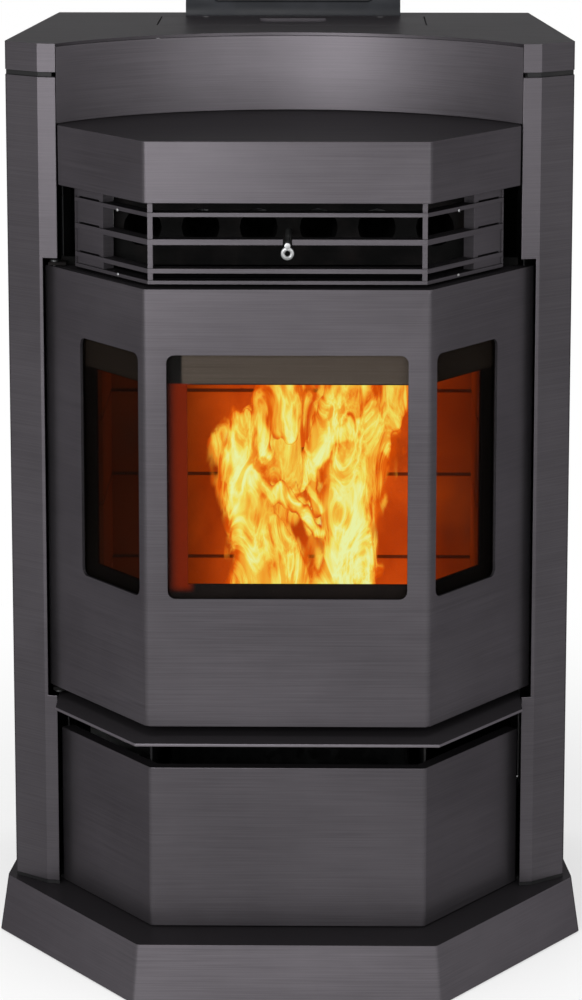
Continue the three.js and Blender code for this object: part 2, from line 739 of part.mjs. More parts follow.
// The dark U-shaped spacer between the columns and the top.
function topSpacer() {
  const line = columnLine(COLUMN_HALF_INNER + 2 * SHEET);
  const start = offsetLine(line, SPACER_INSET);
  const end = offsetLine(line, SPACER_INSET + SPACER_WIDTH);
  const outer = [start[0], start[1], start[2], [start[3][0], BACK - SPACER_INSET]];
  const inner = [[end[3][0], BACK - SPACER_INSET - SPACER_WIDTH], end[2], [end[2][0], end[1][1]]];
  const whole = extruded([...outer, ...mirrored(outer)], COLUMN_TOP + GAP, TOP_LOW - GAP);
  const room = extruded([...inner, ...mirrored(inner)], COLUMN_TOP, TOP_LOW);
  const frontEdge = start[1][1] + SHEET;
  const clear = COLUMN_HALF_INNER + 2 * SHEET;
  return cut(whole, room, symmetricBox(clear, 0, BACK - SPACER_WIDTH - SPACER_INSET,
    COLUMN_TOP, TOP_LOW), symmetricBox(clear, 0, frontEdge, COLUMN_TOP, TOP_LOW));
}

// The top sheet with its folded skirt, its front edge following the concave panel.
function topPlate() {
  const line = columnLine(COLUMN_HALF_INNER);
  const outline = [...line, ...mirrored(line), ...panelArc(0).reverse()];
  const sheet = extruded(outline, TOP_UNDER, TOP_Z);
  const skirtLine = [...line, ...mirrored(line)];
  const skirt = extruded(strip(skirtLine, 0, SHEET), TOP_LOW, TOP_UNDER + OVERCUT);
  const opening = box(
    -LID_HALF - LID_SEAM, LID_HALF + LID_SEAM, LID_FRONT - LID_SEAM, LID_BACK + LID_REAR_SEAM,
    TOP_UNDER - OVERCUT, TOP_Z + OVERCUT,
  );
  return cut(joined(sheet, skirt), opening);
}

function curvedPanel() {
  const outline = [...panelArc(0), ...panelArc(SHEET).reverse()];
  return extruded(outline, HOOD_TOP + GAP, TOP_UNDER - GAP);
}

addPiece(casing, 'top_spacer', topSpacer(), blackSheet);
addPiece(casing, 'top_plate', topPlate(), charcoal);
addPiece(casing, 'curved_panel', curvedPanel(), charcoal);

// ---------------------------------------------------------------- hood and warm air grille

function hood() {
  const line = bayLine(HOOD_HALF_FRONT, HOOD_FRONT, HOOD_HALF_OUTER);
  const top = [...line, ...panelArc(HOOD_TAIL, HOOD_HALF_OUTER)];
  const skirtTop = HOOD_TOP - OVERCUT;
  return joined(
    extruded(top, HOOD_TOP - PLATE, HOOD_TOP),
    extruded(strip(line, 0, SHEET), HOOD_LOW, skirtTop),
    extruded(strip(line, 0, HOOD_FLANGE), HOOD_LOW, HOOD_LOW + SHEET),
  );
}

function airGrille() {
  const outer = GRILLE_HALF_FRONT + GRILLE_REACH * FACET_X;
  const line = bayLine(GRILLE_HALF_FRONT, GRILLE_FRONT, outer);
  const top = HOOD_LOW - GAP;
  const low = SLAT_LIP_Z - SLAT_LIP_HEIGHT / 2;
  const slats = [
    [SLAT_TOP_Z, SLAT_TOP_HEIGHT],
    [SLAT_MIDDLE_Z, SLAT_MIDDLE_HEIGHT],
    [SLAT_LOW_Z, SLAT_LOW_HEIGHT],
    [SLAT_LIP_Z, SLAT_LIP_HEIGHT],
  ].map(([z, height]) => extruded(strip(line, 0, GRILLE_DEPTH), z - height / 2, z + height / 2));
  const onBay = [GRILLE_HALF_FRONT, GRILLE_FRONT];
  const plateStart = GRILLE_REACH - GRILLE_END_PLATE;
  const uprights = [];
  const slits = [];
  for (const side of [-1, 1]) {
    const plate = rectangle(plateStart, GRILLE_REACH, low, top);
    uprights.push(onFacet(side, ...onBay, plate, SHEET, 2 * SHEET));
    const bar = rectangle(plateStart - GRILLE_BAR, plateStart + GRILLE_BAR, low, top);
    uprights.push(onFacet(side, ...onBay, bar, SHEET, GRILLE_DEPTH - SHEET));
    const bendX = side * (GRILLE_HALF_FRONT - GRILLE_BAR);
    const bendBack = GRILLE_FRONT + GRILLE_DEPTH;
    uprights.push(box(bendX - GRILLE_BAR, bendX + GRILLE_BAR, GRILLE_FRONT + SHEET,
      bendBack - SHEET, low, top));
    const end = [side * outer, line[3][1]];
    const tail = [[end[0], end[1]], [end[0] - side * 2 * SHEET, end[1] + SHEET],
      [end[0] - side * 2 * SHEET, BOX_FRONT - GAP], [end[0], BOX_FRONT - GAP]];
    uprights.push(extruded(tail, low, top));
    for (const [z, height] of [[SLAT_TOP_Z, SLAT_TOP_HEIGHT], [SLAT_MIDDLE_Z,
      SLAT_MIDDLE_HEIGHT], [SLAT_LOW_Z, SLAT_LOW_HEIGHT]]) {
      const slitLow = z + height / 2;
      const slit = rectangle(plateStart + 2 * GRILLE_BAR, GRILLE_REACH - 2 * GRILLE_BAR,
        slitLow, slitLow + SLAT_LINE);
      slits.push(onFacet(side, ...onBay, slit, 0, 3 * SHEET));
    }
  }
  const notchTop = SLAT_MIDDLE_Z + SLAT_MIDDLE_HEIGHT;
  const notch = symmetricBox(SLAT_NOTCH / 2, 0, GRILLE_FRONT + 2 * GRILLE_DEPTH,
    notchTop - 2 * SLAT_MIDDLE_HEIGHT, notchTop);
  return cut(joined(...slats, ...uprights), notch, ...slits);
}

addPiece(casing, 'hood', hood(), charcoal);
addPiece(casing, 'air_grille', airGrille(), charcoal);

// ---------------------------------------------------------------- ledge and chassis

function ledge() {
  const line = bayLine(LEDGE_HALF_FRONT, LEDGE_FRONT, LEDGE_HALF_OUTER);
  const outline = [...line, [LEDGE_HALF_OUTER, LEDGE_BACK], [-LEDGE_HALF_OUTER, LEDGE_BACK]];
  return extruded(outline, LEDGE_TOP - PLATE, LEDGE_TOP);
}

// The ash compartment's walls with the two runners that the ash pan slides on.
function chassis() {
  const top = LEDGE_TOP - PLATE - GAP;
  const walls = [symmetricBox(CHASSIS_HALF, CHASSIS_BACK - SHEET, CHASSIS_BACK, CASING_LOW, top)];
  for (const side of [-1, 1]) {
    const outer = side * CHASSIS_HALF;
    const inner = side * (CHASSIS_HALF - SHEET);
    const span = [Math.min(outer, inner), Math.max(outer, inner)];
    walls.push(box(...span, CHASSIS_FRONT, CHASSIS_BACK, CASING_LOW, top));
    const runner = [side * (CHASSIS_HALF - RUNNER_WIDTH), outer].sort((a, b) => a - b);
    walls.push(box(...runner, CHASSIS_FRONT, CHASSIS_BACK, CASING_LOW,
      CASING_LOW + RUNNER_HEIGHT));
  }
  return joined(...walls);
}

addPiece(casing, 'ledge', ledge(), charcoal);
addPiece(casing, 'chassis', chassis(), blackSheet);

// ---------------------------------------------------------------- ash drawer

function ashDrawerFront() {
  const line = bayLine(ASH_HALF_FRONT, ASH_FRONT, ASH_HALF_OUTER);
  const top = ASH_LOW + ASH_HEIGHT;
  return joined(
    extruded(strip(line, 0, SHEET), ASH_LOW, top),
    extruded(strip(line, 0, ASH_FLANGE), top - SHEET, top),
    extruded(strip(line, 0, ASH_LOW_FLANGE), ASH_LOW, ASH_LOW + SHEET),
  );
}

function ashPan() {
  const low = CASING_LOW + RUNNER_HEIGHT + GAP;
  const top = low + ASH_PAN_HEIGHT;
  return cut(
    symmetricBox(ASH_PAN_HALF, PAN_FRONT, PAN_BACK, low, top),
    symmetricBox(ASH_PAN_HALF - SHEET, PAN_FRONT + SHEET, PAN_BACK - SHEET, low + SHEET, top + OVERCUT),
  );
}

addPiece(ashDrawer, 'ash_drawer_front', ashDrawerFront(), charcoal);
addPiece(ashDrawer, 'ash_pan', ashPan(), steel);

// ---------------------------------------------------------------- firebox and its lining

function firebox() {
  const half = GASKET_HALF;
  const flangeBack = BOX_FRONT + PLATE;
  const outside = symmetricBox(BOX_HALF, BOX_FRONT, BOX_BACK, BOX_LOW, BOX_TOP);
  const flange = symmetricBox(half, BOX_FRONT, flangeBack, BOX_LOW, BOX_TOP);
  const inside = symmetricBox(BOX_HALF - PLATE, flangeBack, BOX_BACK - PLATE, BOX_LOW + PLATE,
    BOX_TOP - PLATE);
  const mouth = symmetricBox(DOOR_OPENING_HALF, BOX_FRONT - 1, flangeBack + 1, BOX_MOUTH_LOW,
    BOX_MOUTH_HIGH);
  const flue = symmetricBox(FLUE_HALF, FLUE_FRONT, FLUE_BACK, BOX_TOP - PLATE - OVERCUT, BOX_TOP + OVERCUT);
  const ears = [];
  for (const low of [DOOR_LOW - PLAY - EAR, DOOR_TOP + PLAY]) {
    const ear = box(-HINGE_X - 2 * EAR, -half + 2 * EAR, HINGE_Y - 2 * EAR, flangeBack, low,
      low + EAR);
    const bore = extruded(circle(HINGE_RADIUS + GAP, BORE_SIDES, -HINGE_X, HINGE_Y),
      low - OVERCUT, low + EAR + OVERCUT);
    ears.push(cut(ear, bore));
  }
  const catchEar = box(half - 2 * EAR, half + 4 * EAR, BOX_FRONT, flangeBack,
    catchLow(), catchLow() + CATCH_HEIGHT);
  return cut(joined(outside, flange, ...ears, catchEar), inside, mouth, flue, ...rearPassages());
}

function catchLow() {
  return DOOR_LOW + (DOOR_HEIGHT - CATCH_HEIGHT) / 2;
}

// The ways through the firebox's rear wall: pellet chute, flue gas outlet and air intake.
function rearPassages() {
  const front = BRICK_BACK_FRONT - OVERCUT;
  const back = BOX_BACK + OVERCUT;
  const chuteHalf = CHUTE_HALF - PLATE;
  return [
    symmetricBox(chuteHalf, front, back, CHUTE_LOW + PLATE, CHUTE_TOP - PLATE),
    box(-FLUE_HALF + PLATE, -EXHAUST_X + INTAKE_RADIUS, front, back,
      FLUE_DUCT_ARM_LOW + PLATE, FLUE_DUCT_HIGH - PLATE),
    extruded(circle(INTAKE_RADIUS - SHEET, BORE_SIDES, INTAKE_X, INTAKE_Z), front, back, BACKWARDS),
  ];
}

// Shallow joints between the courses of a brick panel's visible face.
function levelJoints(left, right, front, back) {
  const joints = [];
  for (let z = BRICK_FIRST_JOINT; z < BRICK_TOP; z += BRICK_COURSE) {
    joints.push(box(left, right, front, back, z - BRICK_JOINT / 2, z + BRICK_JOINT / 2));
  }
  return joints;
}

function brickBack() {
  const half = BOX_HALF - PLATE - GAP;
  const front = BRICK_BACK_FRONT;
  const panel = symmetricBox(half, front, front + BRICK_BACK, BRICK_LOW, BRICK_TOP);
  const grooveBack = front + BRICK_JOINT_DEPTH;
  const joints = levelJoints(-half - OVERCUT, half + OVERCUT, front - OVERCUT, grooveBack);
  const seen = BRICK_SIDE_FACE;
  let course = 0;
  for (let top = BRICK_FIRST_JOINT; top < BRICK_TOP + BRICK_COURSE; top += BRICK_COURSE) {
    const low = Math.max(top - BRICK_COURSE, BRICK_LOW - OVERCUT);
    const shift = course % 2 === 0 ? BRICK_LENGTH / 2 : 0;
    for (let x = -seen + shift; x < seen; x += BRICK_LENGTH) {
      const width = BRICK_JOINT / 2;
      if (Math.abs(x) < seen - BRICK_JOINT) {
        joints.push(box(x - width, x + width, front - OVERCUT, grooveBack, low,
          Math.min(top, BRICK_TOP + OVERCUT)));
      }
    }
    course += 1;
  }
  return cut(panel, ...joints, ...rearPassages());
}

function brickSide(side) {
  const face = side * BRICK_SIDE_FACE;
  const wall = side * (BOX_HALF - PLATE - GAP);
  const front = BOX_FRONT + PLATE + GAP;
  const back = BRICK_BACK_FRONT - GAP;
  const panel = box(Math.min(face, wall), Math.max(face, wall), front, back, BRICK_LOW, BRICK_TOP);
  const groove = [face - side, face + side * BRICK_JOINT_DEPTH].sort((a, b) => a - b);
  return cut(panel, ...levelJoints(...groove, front - 1, back + 1));
}

function baffle() {
  const half = BOX_HALF - PLATE - 2 * GAP;
  const front = BOX_FRONT + PLATE + GAP;
  const low = BRICK_TOP + GAP;
  return symmetricBox(half, front, BRICK_BACK_FRONT + BRICK_BACK / 2, low, low + BAFFLE);
}

addPiece(casing, 'firebox', firebox(), castIron);
addPiece(casing, 'brick_back', brickBack(), firebrick);
addPiece(casing, 'brick_left', brickSide(-1), firebrick);
addPiece(casing, 'brick_right', brickSide(1), firebrick);
addPiece(casing, 'baffle', baffle(), castIron);

// ---------------------------------------------------------------- heat exchanger and scraper

function tubeCentres() {
  const centres = [];
  for (let i = 0; i < TUBE_PAIRS; i += 1) {
    centres.push(TUBE_FIRST + i * TUBE_PITCH, -TUBE_FIRST - i * TUBE_PITCH);
  }
  return centres;
}

// Air tubes in a box that is open to the firebox below.
function heatExchanger() {
  const low = BOX_TOP + GAP;
  const top = HOOD_LOW - GAP;
  const shell = cut(
    symmetricBox(EXCHANGER_HALF, EXCHANGER_FRONT, EXCHANGER_BACK, low, top),
    symmetricBox(EXCHANGER_HALF - PLATE, EXCHANGER_FRONT + PLATE, EXCHANGER_BACK - PLATE,
      low - OVERCUT, top - PLATE),
  );
  const tubes = tubeCentres().map((x) => rod(TUBE_RADIUS, [x, EXCHANGER_FRONT, TUBE_Z],
    [x, EXCHANGER_BACK, TUBE_Z], TUBE_SIDES));
  const bores = tubeCentres().map((x) => rod(TUBE_RADIUS - SHEET, [x, EXCHANGER_FRONT - OVERCUT, TUBE_Z],
    [x, EXCHANGER_BACK + OVERCUT, TUBE_Z], TUBE_SIDES));
  const rodHole = rod(ROD_RADIUS + GAP, [0, EXCHANGER_FRONT - OVERCUT, ROD_Z],
    [0, EXCHANGER_FRONT + PLATE + OVERCUT, ROD_Z]);
  return cut(joined(shell, ...tubes), ...bores, rodHole);
}

// The pull ring and rod, with the plate that wipes soot off the tubes.
function scraperRod() {
  const half = EXCHANGER_HALF - 2 * PLATE;
  const low = BOX_TOP + 2 * PLATE;
  const top = HOOD_LOW - 3 * PLATE;
  const holes = tubeCentres().map((x) => rod(TUBE_RADIUS + SCRAPER_HOLE_GAP,
    [x, SCRAPER_Y - OVERCUT, TUBE_Z], [x, SCRAPER_Y + PLATE + OVERCUT, TUBE_Z], TUBE_SIDES));
  const plate = cut(symmetricBox(half, SCRAPER_Y, SCRAPER_Y + PLATE, low, top), ...holes);
  const ring = new THREE.TorusGeometry(RING_RADIUS, RING_WIRE, HOLE_SIDES, ROD_SIDES);
  ring.rotateX(Math.PI / 2);
  ring.translate(0, RING_Y + RING_WIRE, ROD_Z - ROD_RADIUS - RING_RADIUS);
  const pull = rod(ROD_RADIUS, [0, RING_Y, ROD_Z], [0, SCRAPER_Y + OVERCUT, ROD_Z], SMALL_SIDES);
  return joined(solidOf(ring), pull, plate);
}

const scraper = bodyGroup();
addPiece(casing, 'heat_exchanger', heatExchanger(), castIron);
addPiece(scraper, 'scraper_rod', scraperRod(), steel);

// ---------------------------------------------------------------- burn pot and igniter

// A shelf with a square hole for the pot, standing on four walls.
function burnPotHolder() {
  const low = BOX_LOW + PLATE + GAP;
  const outside = symmetricBox(HOLDER_HALF, HOLDER_FRONT, HOLDER_BACK, low, HOLDER_TOP);
  const inside = symmetricBox(HOLDER_HALF - PLATE, HOLDER_FRONT + PLATE, HOLDER_BACK - PLATE,
    low - OVERCUT, HOLDER_TOP - PLATE);
  const holeHalf = POT_HALF + 3 * GAP;
  const hole = symmetricBox(holeHalf, POT_Y - holeHalf, POT_Y + holeHalf, low, HOLDER_TOP + OVERCUT);
  const air = extruded(circle(INTAKE_RADIUS / 2, SMALL_SIDES, 0, (low + HOLDER_TOP) / 2),
    HOLDER_FRONT - OVERCUT, HOLDER_FRONT + PLATE + OVERCUT, BACKWARDS);
  return cut(outside, inside, hole, air);
}

// The lift-out pot: a square cup with an outer rim and air holes in its walls and bottom.
function burnPot() {
  const top = POT_LOW + POT_HEIGHT;
  const front = POT_Y - POT_HALF;
  const back = POT_Y + POT_HALF;
  const rimHalf = POT_HALF + POT_RIM;
  const rimLow = HOLDER_TOP + GAP;
  const holes = [];
  for (const row of [-1, 0, 1]) {
    for (const column of [-1, 0, 1]) {
      const x = (column * POT_HALF) / 2;
      const y = POT_Y + (row * POT_HALF) / 2;
      holes.push(rod(POT_HOLE, [x, y, POT_LOW - OVERCUT], [x, y, POT_LOW + PLATE + OVERCUT], HOLE_SIDES));
    }
    const along = (row * POT_HALF) / 2;
    const z = rimLow + POT_HEIGHT / 3;
    const reach = POT_HALF + OVERCUT;
    holes.push(rod(POT_HOLE, [along, POT_Y - reach, z], [along, POT_Y + reach, z], HOLE_SIDES));
    holes.push(rod(POT_HOLE, [-reach, POT_Y + along, z], [reach, POT_Y + along, z], HOLE_SIDES));
  }
  return cut(
    joined(
      symmetricBox(POT_HALF, front, back, POT_LOW, top),
      symmetricBox(rimHalf, POT_Y - rimHalf, POT_Y + rimHalf, rimLow, rimLow + PLATE),
    ),
    symmetricBox(POT_HALF - PLATE, front + PLATE, back - PLATE, POT_LOW + PLATE, top + OVERCUT),
    ...holes,
  );
}

function igniter() {
  const start = POT_HALF + POT_RIM + GAP;
  const end = start + IGNITER_LENGTH;
  const footLow = HOLDER_TOP + GAP;
  const foot = box(start + IGNITER_LENGTH / 2, end - PLATE, POT_Y - 3 * PLATE, POT_Y + 3 * PLATE,
    footLow, IGNITER_Z + IGNITER_RADIUS + PLATE);
  return joined(foot, rod(IGNITER_RADIUS, [start, POT_Y, IGNITER_Z], [end, POT_Y, IGNITER_Z], SMALL_SIDES));
}

const potGroup = bodyGroup();
addPiece(casing, 'burn_pot_holder', burnPotHolder(), castIron);
addPiece(potGroup, 'burn_pot', burnPot(), castIron);
addPiece(casing, 'igniter', igniter(), steel);

// ---------------------------------------------------------------- auger

const AUGER_RISE = THREE.MathUtils.degToRad(AUGER_TILT);

// A point at a distance along the auger's axis, moved square to it towards the rear.
function augerPoint(along, rear = 0) {
  return [
    0,
    AUGER_LOW_Y - along * Math.cos(AUGER_RISE) + rear * Math.sin(AUGER_RISE),
    AUGER_LOW_Z + along * Math.sin(AUGER_RISE) + rear * Math.cos(AUGER_RISE),
  ];
}

// A closed tube with the hopper's mouth above it and the pellet chute in front.
function augerTube() {
  const chuteBack = augerPoint(AUGER_LENGTH)[1];
  const bore = AUGER_TUBE_RADIUS - PLATE;
  const throatHalf = SPOUT_HALF - SHEET - GAP;
  const throat = symmetricBox(throatHalf, SPOUT_FRONT + SHEET, SPOUT_BACK - SHEET,
    augerPoint(AUGER_LENGTH / 3)[2], SPOUT_TOP + SHEET);
  return cut(
    joined(
      rod(AUGER_TUBE_RADIUS, augerPoint(0), augerPoint(AUGER_LENGTH)),
      symmetricBox(CHUTE_HALF, BOX_BACK + GAP, chuteBack, CHUTE_LOW, CHUTE_TOP),
    ),
    rod(bore, augerPoint(PLATE), augerPoint(AUGER_LENGTH - PLATE)),
    symmetricBox(CHUTE_HALF - PLATE, BOX_BACK - OVERCUT, chuteBack, CHUTE_LOW + PLATE, CHUTE_TOP - PLATE),
    rod(AUGER_SHAFT + GAP, augerPoint(-OVERCUT), augerPoint(2 * PLATE), SMALL_SIDES),
    throat,
  );
}

// The screw's flight as one ribbon wound round the Z axis.
function flight(length) {
  const stepsPerTurn = 10;
  const steps = Math.round((length / AUGER_PITCH) * stepsPerTurn);
  const positions = [];
  const faces = [];
  for (let i = 0; i <= steps; i += 1) {
    const angle = (i / stepsPerTurn) * 2 * Math.PI;
    const z = (i / steps) * length;
    for (const [radius, lift] of [[AUGER_SHAFT / 2, 0], [AUGER_RADIUS, 0],
      [AUGER_RADIUS, AUGER_FLIGHT], [AUGER_SHAFT / 2, AUGER_FLIGHT]]) {
      positions.push(radius * Math.cos(angle), radius * Math.sin(angle), z + lift);
    }
    for (let k = 0; k < 4 && i < steps; k += 1) {
      const a = 4 * i + k;
      const b = 4 * i + ((k + 1) % 4);
      faces.push(a, b, b + 4, a, b + 4, a + 4);
    }
  }
  const last = 4 * steps;
  faces.push(0, 2, 1, 0, 3, 2, last, last + 1, last + 2, last, last + 2, last + 3);
  const geometry = new THREE.BufferGeometry();
  geometry.setAttribute('position', new THREE.Float32BufferAttribute(positions, 3));
  geometry.setIndex(faces);
  return geometry;
}

function auger() {
  const start = 2 * PLATE;
  const ribbon = flight(AUGER_LENGTH - 2 * start - AUGER_FLIGHT);
  ribbon.rotateX(Math.PI / 2 - AUGER_RISE);
  ribbon.translate(...augerPoint(start));
  const shaft = rod(AUGER_SHAFT, augerPoint(-GEARBOX_LENGTH / 2), augerPoint(AUGER_LENGTH - start),
    SMALL_SIDES);
  return joined(solidOf(ribbon), shaft);
}

function augerMotor() {
  const gear = new THREE.BoxGeometry(2 * GEARBOX_HALF, 2 * GEARBOX_HALF, GEARBOX_LENGTH);
  gear.rotateX(Math.PI / 2 - AUGER_RISE);
  gear.translate(...augerPoint(-GAP - GEARBOX_LENGTH / 2));
  const motorStart = -GAP - GEARBOX_LENGTH + OVERCUT;
  const motor = rod(AUGER_MOTOR_RADIUS, augerPoint(motorStart),
    augerPoint(motorStart - AUGER_MOTOR_LENGTH));
  const socket = rod(AUGER_SHAFT + GAP, augerPoint(OVERCUT), augerPoint(-GEARBOX_LENGTH / 2 - GAP),
    SMALL_SIDES);
  return cut(joined(solidOf(gear), motor), socket);
}

const augerBody = bodyGroup();
addPiece(casing, 'auger_tube', augerTube(), steel);
addPiece(augerBody, 'auger', auger(), steel);
addPiece(casing, 'auger_motor', augerMotor(), steel);

// ---------------------------------------------------------------- hopper

function hopperOutlines(wall) {
  const spout = rectangle(-SPOUT_HALF + wall, SPOUT_HALF - wall, SPOUT_FRONT + wall,
    SPOUT_BACK - wall);
  const bin = rectangle(-HOPPER_HALF + wall, HOPPER_HALF - wall, HOPPER_FRONT + wall,
    HOPPER_BACK - wall);
  const neck = rectangle(-SEAL_HALF + SEAL_WIDTH - SHEET + wall, SEAL_HALF - SEAL_WIDTH + SHEET - wall,
    SEAL_FRONT + SEAL_WIDTH - SHEET + wall, SEAL_BACK - SEAL_WIDTH + SHEET - wall);
  return { spout, bin, neck };
}

function hopperVolume(wall) {
  const { spout, bin, neck } = hopperOutlines(wall);
  return joined(
    extruded(spout, AUGER_LOW_Z, SPOUT_TOP),
    loft(spout, SPOUT_TOP, bin, HOPPER_LOW),
    extruded(bin, HOPPER_LOW, HOPPER_HIGH),
    loft(bin, HOPPER_HIGH, neck, COLLAR_Z - PLATE),
  );
}

// The sheet hopper: spout, funnel, bin and neck, with a collar that carries the lid's seal,
// an upturned lip under the top plate and two ears for the lid's hinge pin.
function hopper() {
  const margin = PLATE + LID_SEAM;
  const front = LID_FRONT - margin - SHEET;
  const back = LID_BACK + LID_REAR_SEAM + margin;
  const half = LID_HALF + margin + SHEET;
  const collar = symmetricBox(half, front, back, COLLAR_Z - PLATE, COLLAR_Z);
  const lipTop = TOP_UNDER - GAP;
  const lip = cut(
    symmetricBox(half, front, back, COLLAR_Z - OVERCUT, lipTop),
    symmetricBox(half - SHEET, front + SHEET, back - SHEET, COLLAR_Z - SHEET, lipTop + OVERCUT),
  );
  const { neck } = hopperOutlines(SHEET);
  const mouth = extruded(neck, COLLAR_Z - 2 * PLATE, COLLAR_Z + OVERCUT);
  const ears = [-1, 1].map((side) => {
    const x = side * LID_EAR_X;
    const ear = box(x - LID_EAR / 2, x + LID_EAR / 2, LID_AXIS_Y - LID_KNUCKLE,
      LID_AXIS_Y + LID_KNUCKLE, COLLAR_Z - OVERCUT, LID_AXIS_Z + LID_KNUCKLE - GAP);
    return cut(ear, rod(LID_PIN + GAP, [x - LID_EAR, LID_AXIS_Y, LID_AXIS_Z],
      [x + LID_EAR, LID_AXIS_Y, LID_AXIS_Z], SMALL_SIDES));
  });
  const tube = rod(AUGER_TUBE_RADIUS + GAP, augerPoint(-AUGER_LENGTH), augerPoint(2 * AUGER_LENGTH));
  const belowTube = symmetricBox(SPOUT_HALF + OVERCUT, SPOUT_FRONT - OVERCUT, SPOUT_BACK + OVERCUT, 0,
    augerPoint(AUGER_LENGTH / 3)[2]);
  return cut(
    joined(hopperVolume(0), collar, lip, ...ears),
    hopperVolume(SHEET), mouth, tube, belowTube,
  );
}

addPiece(casing, 'hopper', hopper(), steel);

// ---------------------------------------------------------------- fire door

const WINDOW_TOP = WINDOW_LOW + WINDOW_HEIGHT;
const DOOR_BAY = [DOOR_HALF_FRONT, 0];
const SIDE_WINDOW_END = SIDE_WINDOW_START + SIDE_WINDOW_WIDTH;

// The door is a hollow bay: folded front, top, bottom and a rear frame round its opening.
function fireDoorShell() {
  const line = bayLine(DOOR_HALF_FRONT, 0, DOOR_HALF_OUTER);
  const inside = cut(
    extruded(offsetLine(line, PLATE), DOOR_LOW + PLATE, DOOR_TOP - PLATE),
    symmetricBox(DOOR_HALF_OUTER, DOOR_BACK - PLATE, DOOR_BACK + PLATE, DOOR_LOW, DOOR_TOP),
  );
  const opening = symmetricBox(DOOR_OPENING_HALF, DOOR_BACK - 2 * PLATE, DOOR_BACK + OVERCUT,
    DOOR_LOW + DOOR_RIM, DOOR_TOP - DOOR_RIM);
  const window = roundedRectangle(-WINDOW_HALF, WINDOW_HALF, WINDOW_LOW, WINDOW_TOP, WINDOW_RADIUS);
  const sideWindow = roundedRectangle(SIDE_WINDOW_START, SIDE_WINDOW_END, WINDOW_LOW, WINDOW_TOP,
    WINDOW_RADIUS);
  const bore = circle(HINGE_RADIUS + GAP, BORE_SIDES, -HINGE_X, HINGE_Y);
  return cut(
    extruded(line, DOOR_LOW, DOOR_TOP),
    inside,
    opening,
    extruded(window, -OVERCUT, PLATE + OVERCUT, BACKWARDS),
    onFacet(-1, ...DOOR_BAY, sideWindow, -OVERCUT, PLATE + OVERCUT),
    onFacet(1, ...DOOR_BAY, sideWindow, -OVERCUT, PLATE + OVERCUT),
    extruded(bore, DOOR_LOW - OVERCUT, DOOR_LOW + HINGE_BITE + OVERCUT),
    extruded(bore, DOOR_TOP - HINGE_BITE - OVERCUT, DOOR_TOP + OVERCUT),
  );
}

function sideGlass(side) {
  const outline = rectangle(SIDE_WINDOW_START - GLASS_LAP, SIDE_WINDOW_END + GLASS_LAP,
    WINDOW_LOW - GLASS_LAP, WINDOW_TOP + GLASS_LAP);
  return onFacet(side, ...DOOR_BAY, outline, PLATE + GAP, PLATE + GAP + GLASS);
}

// The frame that holds the three panes, with the deep air-wash band along their tops.
function glassRetainer() {
  const front = PLATE + GLASS + 2 * GAP;
  const outer = DOOR_HALF_FRONT + (SIDE_WINDOW_END + GLASS_LAP) * FACET_X;
  const line = bayLine(DOOR_HALF_FRONT, 0, outer);
  const sill = WINDOW_LOW + RETAINER_SILL;
  const head = WINDOW_TOP - RETAINER_BAND;
  const sideOpening = rectangle(SIDE_WINDOW_START, SIDE_WINDOW_END - RETAINER_SIDE_JAMB, sill, head);
  return cut(
    extruded(strip(line, front, front + PLATE), WINDOW_LOW - GLASS_LAP, WINDOW_TOP + GLASS_LAP),
    box(-WINDOW_HALF + RETAINER_JAMB, WINDOW_HALF, 0, front + 2 * PLATE, sill, head),
    onFacet(-1, ...DOOR_BAY, sideOpening, 0, front + 2 * PLATE),
    onFacet(1, ...DOOR_BAY, sideOpening, 0, front + 2 * PLATE),
  );
}

function doorGasket() {
  const front = DOOR_BACK + GAP;
  const back = front + GASKET_DEPTH;
  const low = DOOR_LOW + PLAY;
  const top = DOOR_TOP - PLAY;
  return cut(
    symmetricBox(GASKET_HALF, front, back, low, top),
    symmetricBox(GASKET_HALF - GASKET_WIDTH, front - 1, back + 1, low + GASKET_RIM,
      top - GASKET_RIM),
  );
}

// A headed pin through one of the firebox's ears into the door's end plate.
function doorPin(end) {
  const inner = end > 0 ? DOOR_TOP - HINGE_BITE : DOOR_LOW + HINGE_BITE;
  const ear = end > 0 ? DOOR_TOP + PLAY + EAR : DOOR_LOW - PLAY - EAR;
  const seat = ear + end * GAP;
  const head = rod(HINGE_HEAD, [-HINGE_X, HINGE_Y, seat], [-HINGE_X, HINGE_Y, seat + end * SHEET]);
  return joined(head, rod(HINGE_RADIUS, [-HINGE_X, HINGE_Y, inner],
    [-HINGE_X, HINGE_Y, seat + end]));
}

addPiece(fireDoor, 'fire_door', fireDoorShell(), charcoal);
addPiece(fireDoor, 'glass_centre', symmetricBox(WINDOW_HALF + GLASS_LAP, PLATE + GAP,
  PLATE + GAP + GLASS, WINDOW_LOW - GLASS_LAP, WINDOW_TOP + GLASS_LAP), ceramicGlass);
addPiece(fireDoor, 'glass_left', sideGlass(-1), ceramicGlass);
addPiece(fireDoor, 'glass_right', sideGlass(1), ceramicGlass);
addPiece(fireDoor, 'glass_retainer', glassRetainer(), steel);
addPiece(fireDoor, 'door_gasket', doorGasket(), fibre);
addPiece(casing, 'door_hinge_pin_top', doorPin(1), steel);
addPiece(casing, 'door_hinge_pin_bottom', doorPin(-1), steel);
addPiece(casing, 'door_catch', box(GASKET_HALF + PLAY, DOOR_HALF_OUTER - 2 * PLATE,
  DOOR_BACK + GAP, BOX_FRONT - GAP, catchLow(), catchLow() + CATCH_HEIGHT), steel);

// ---------------------------------------------------------------- hopper lid

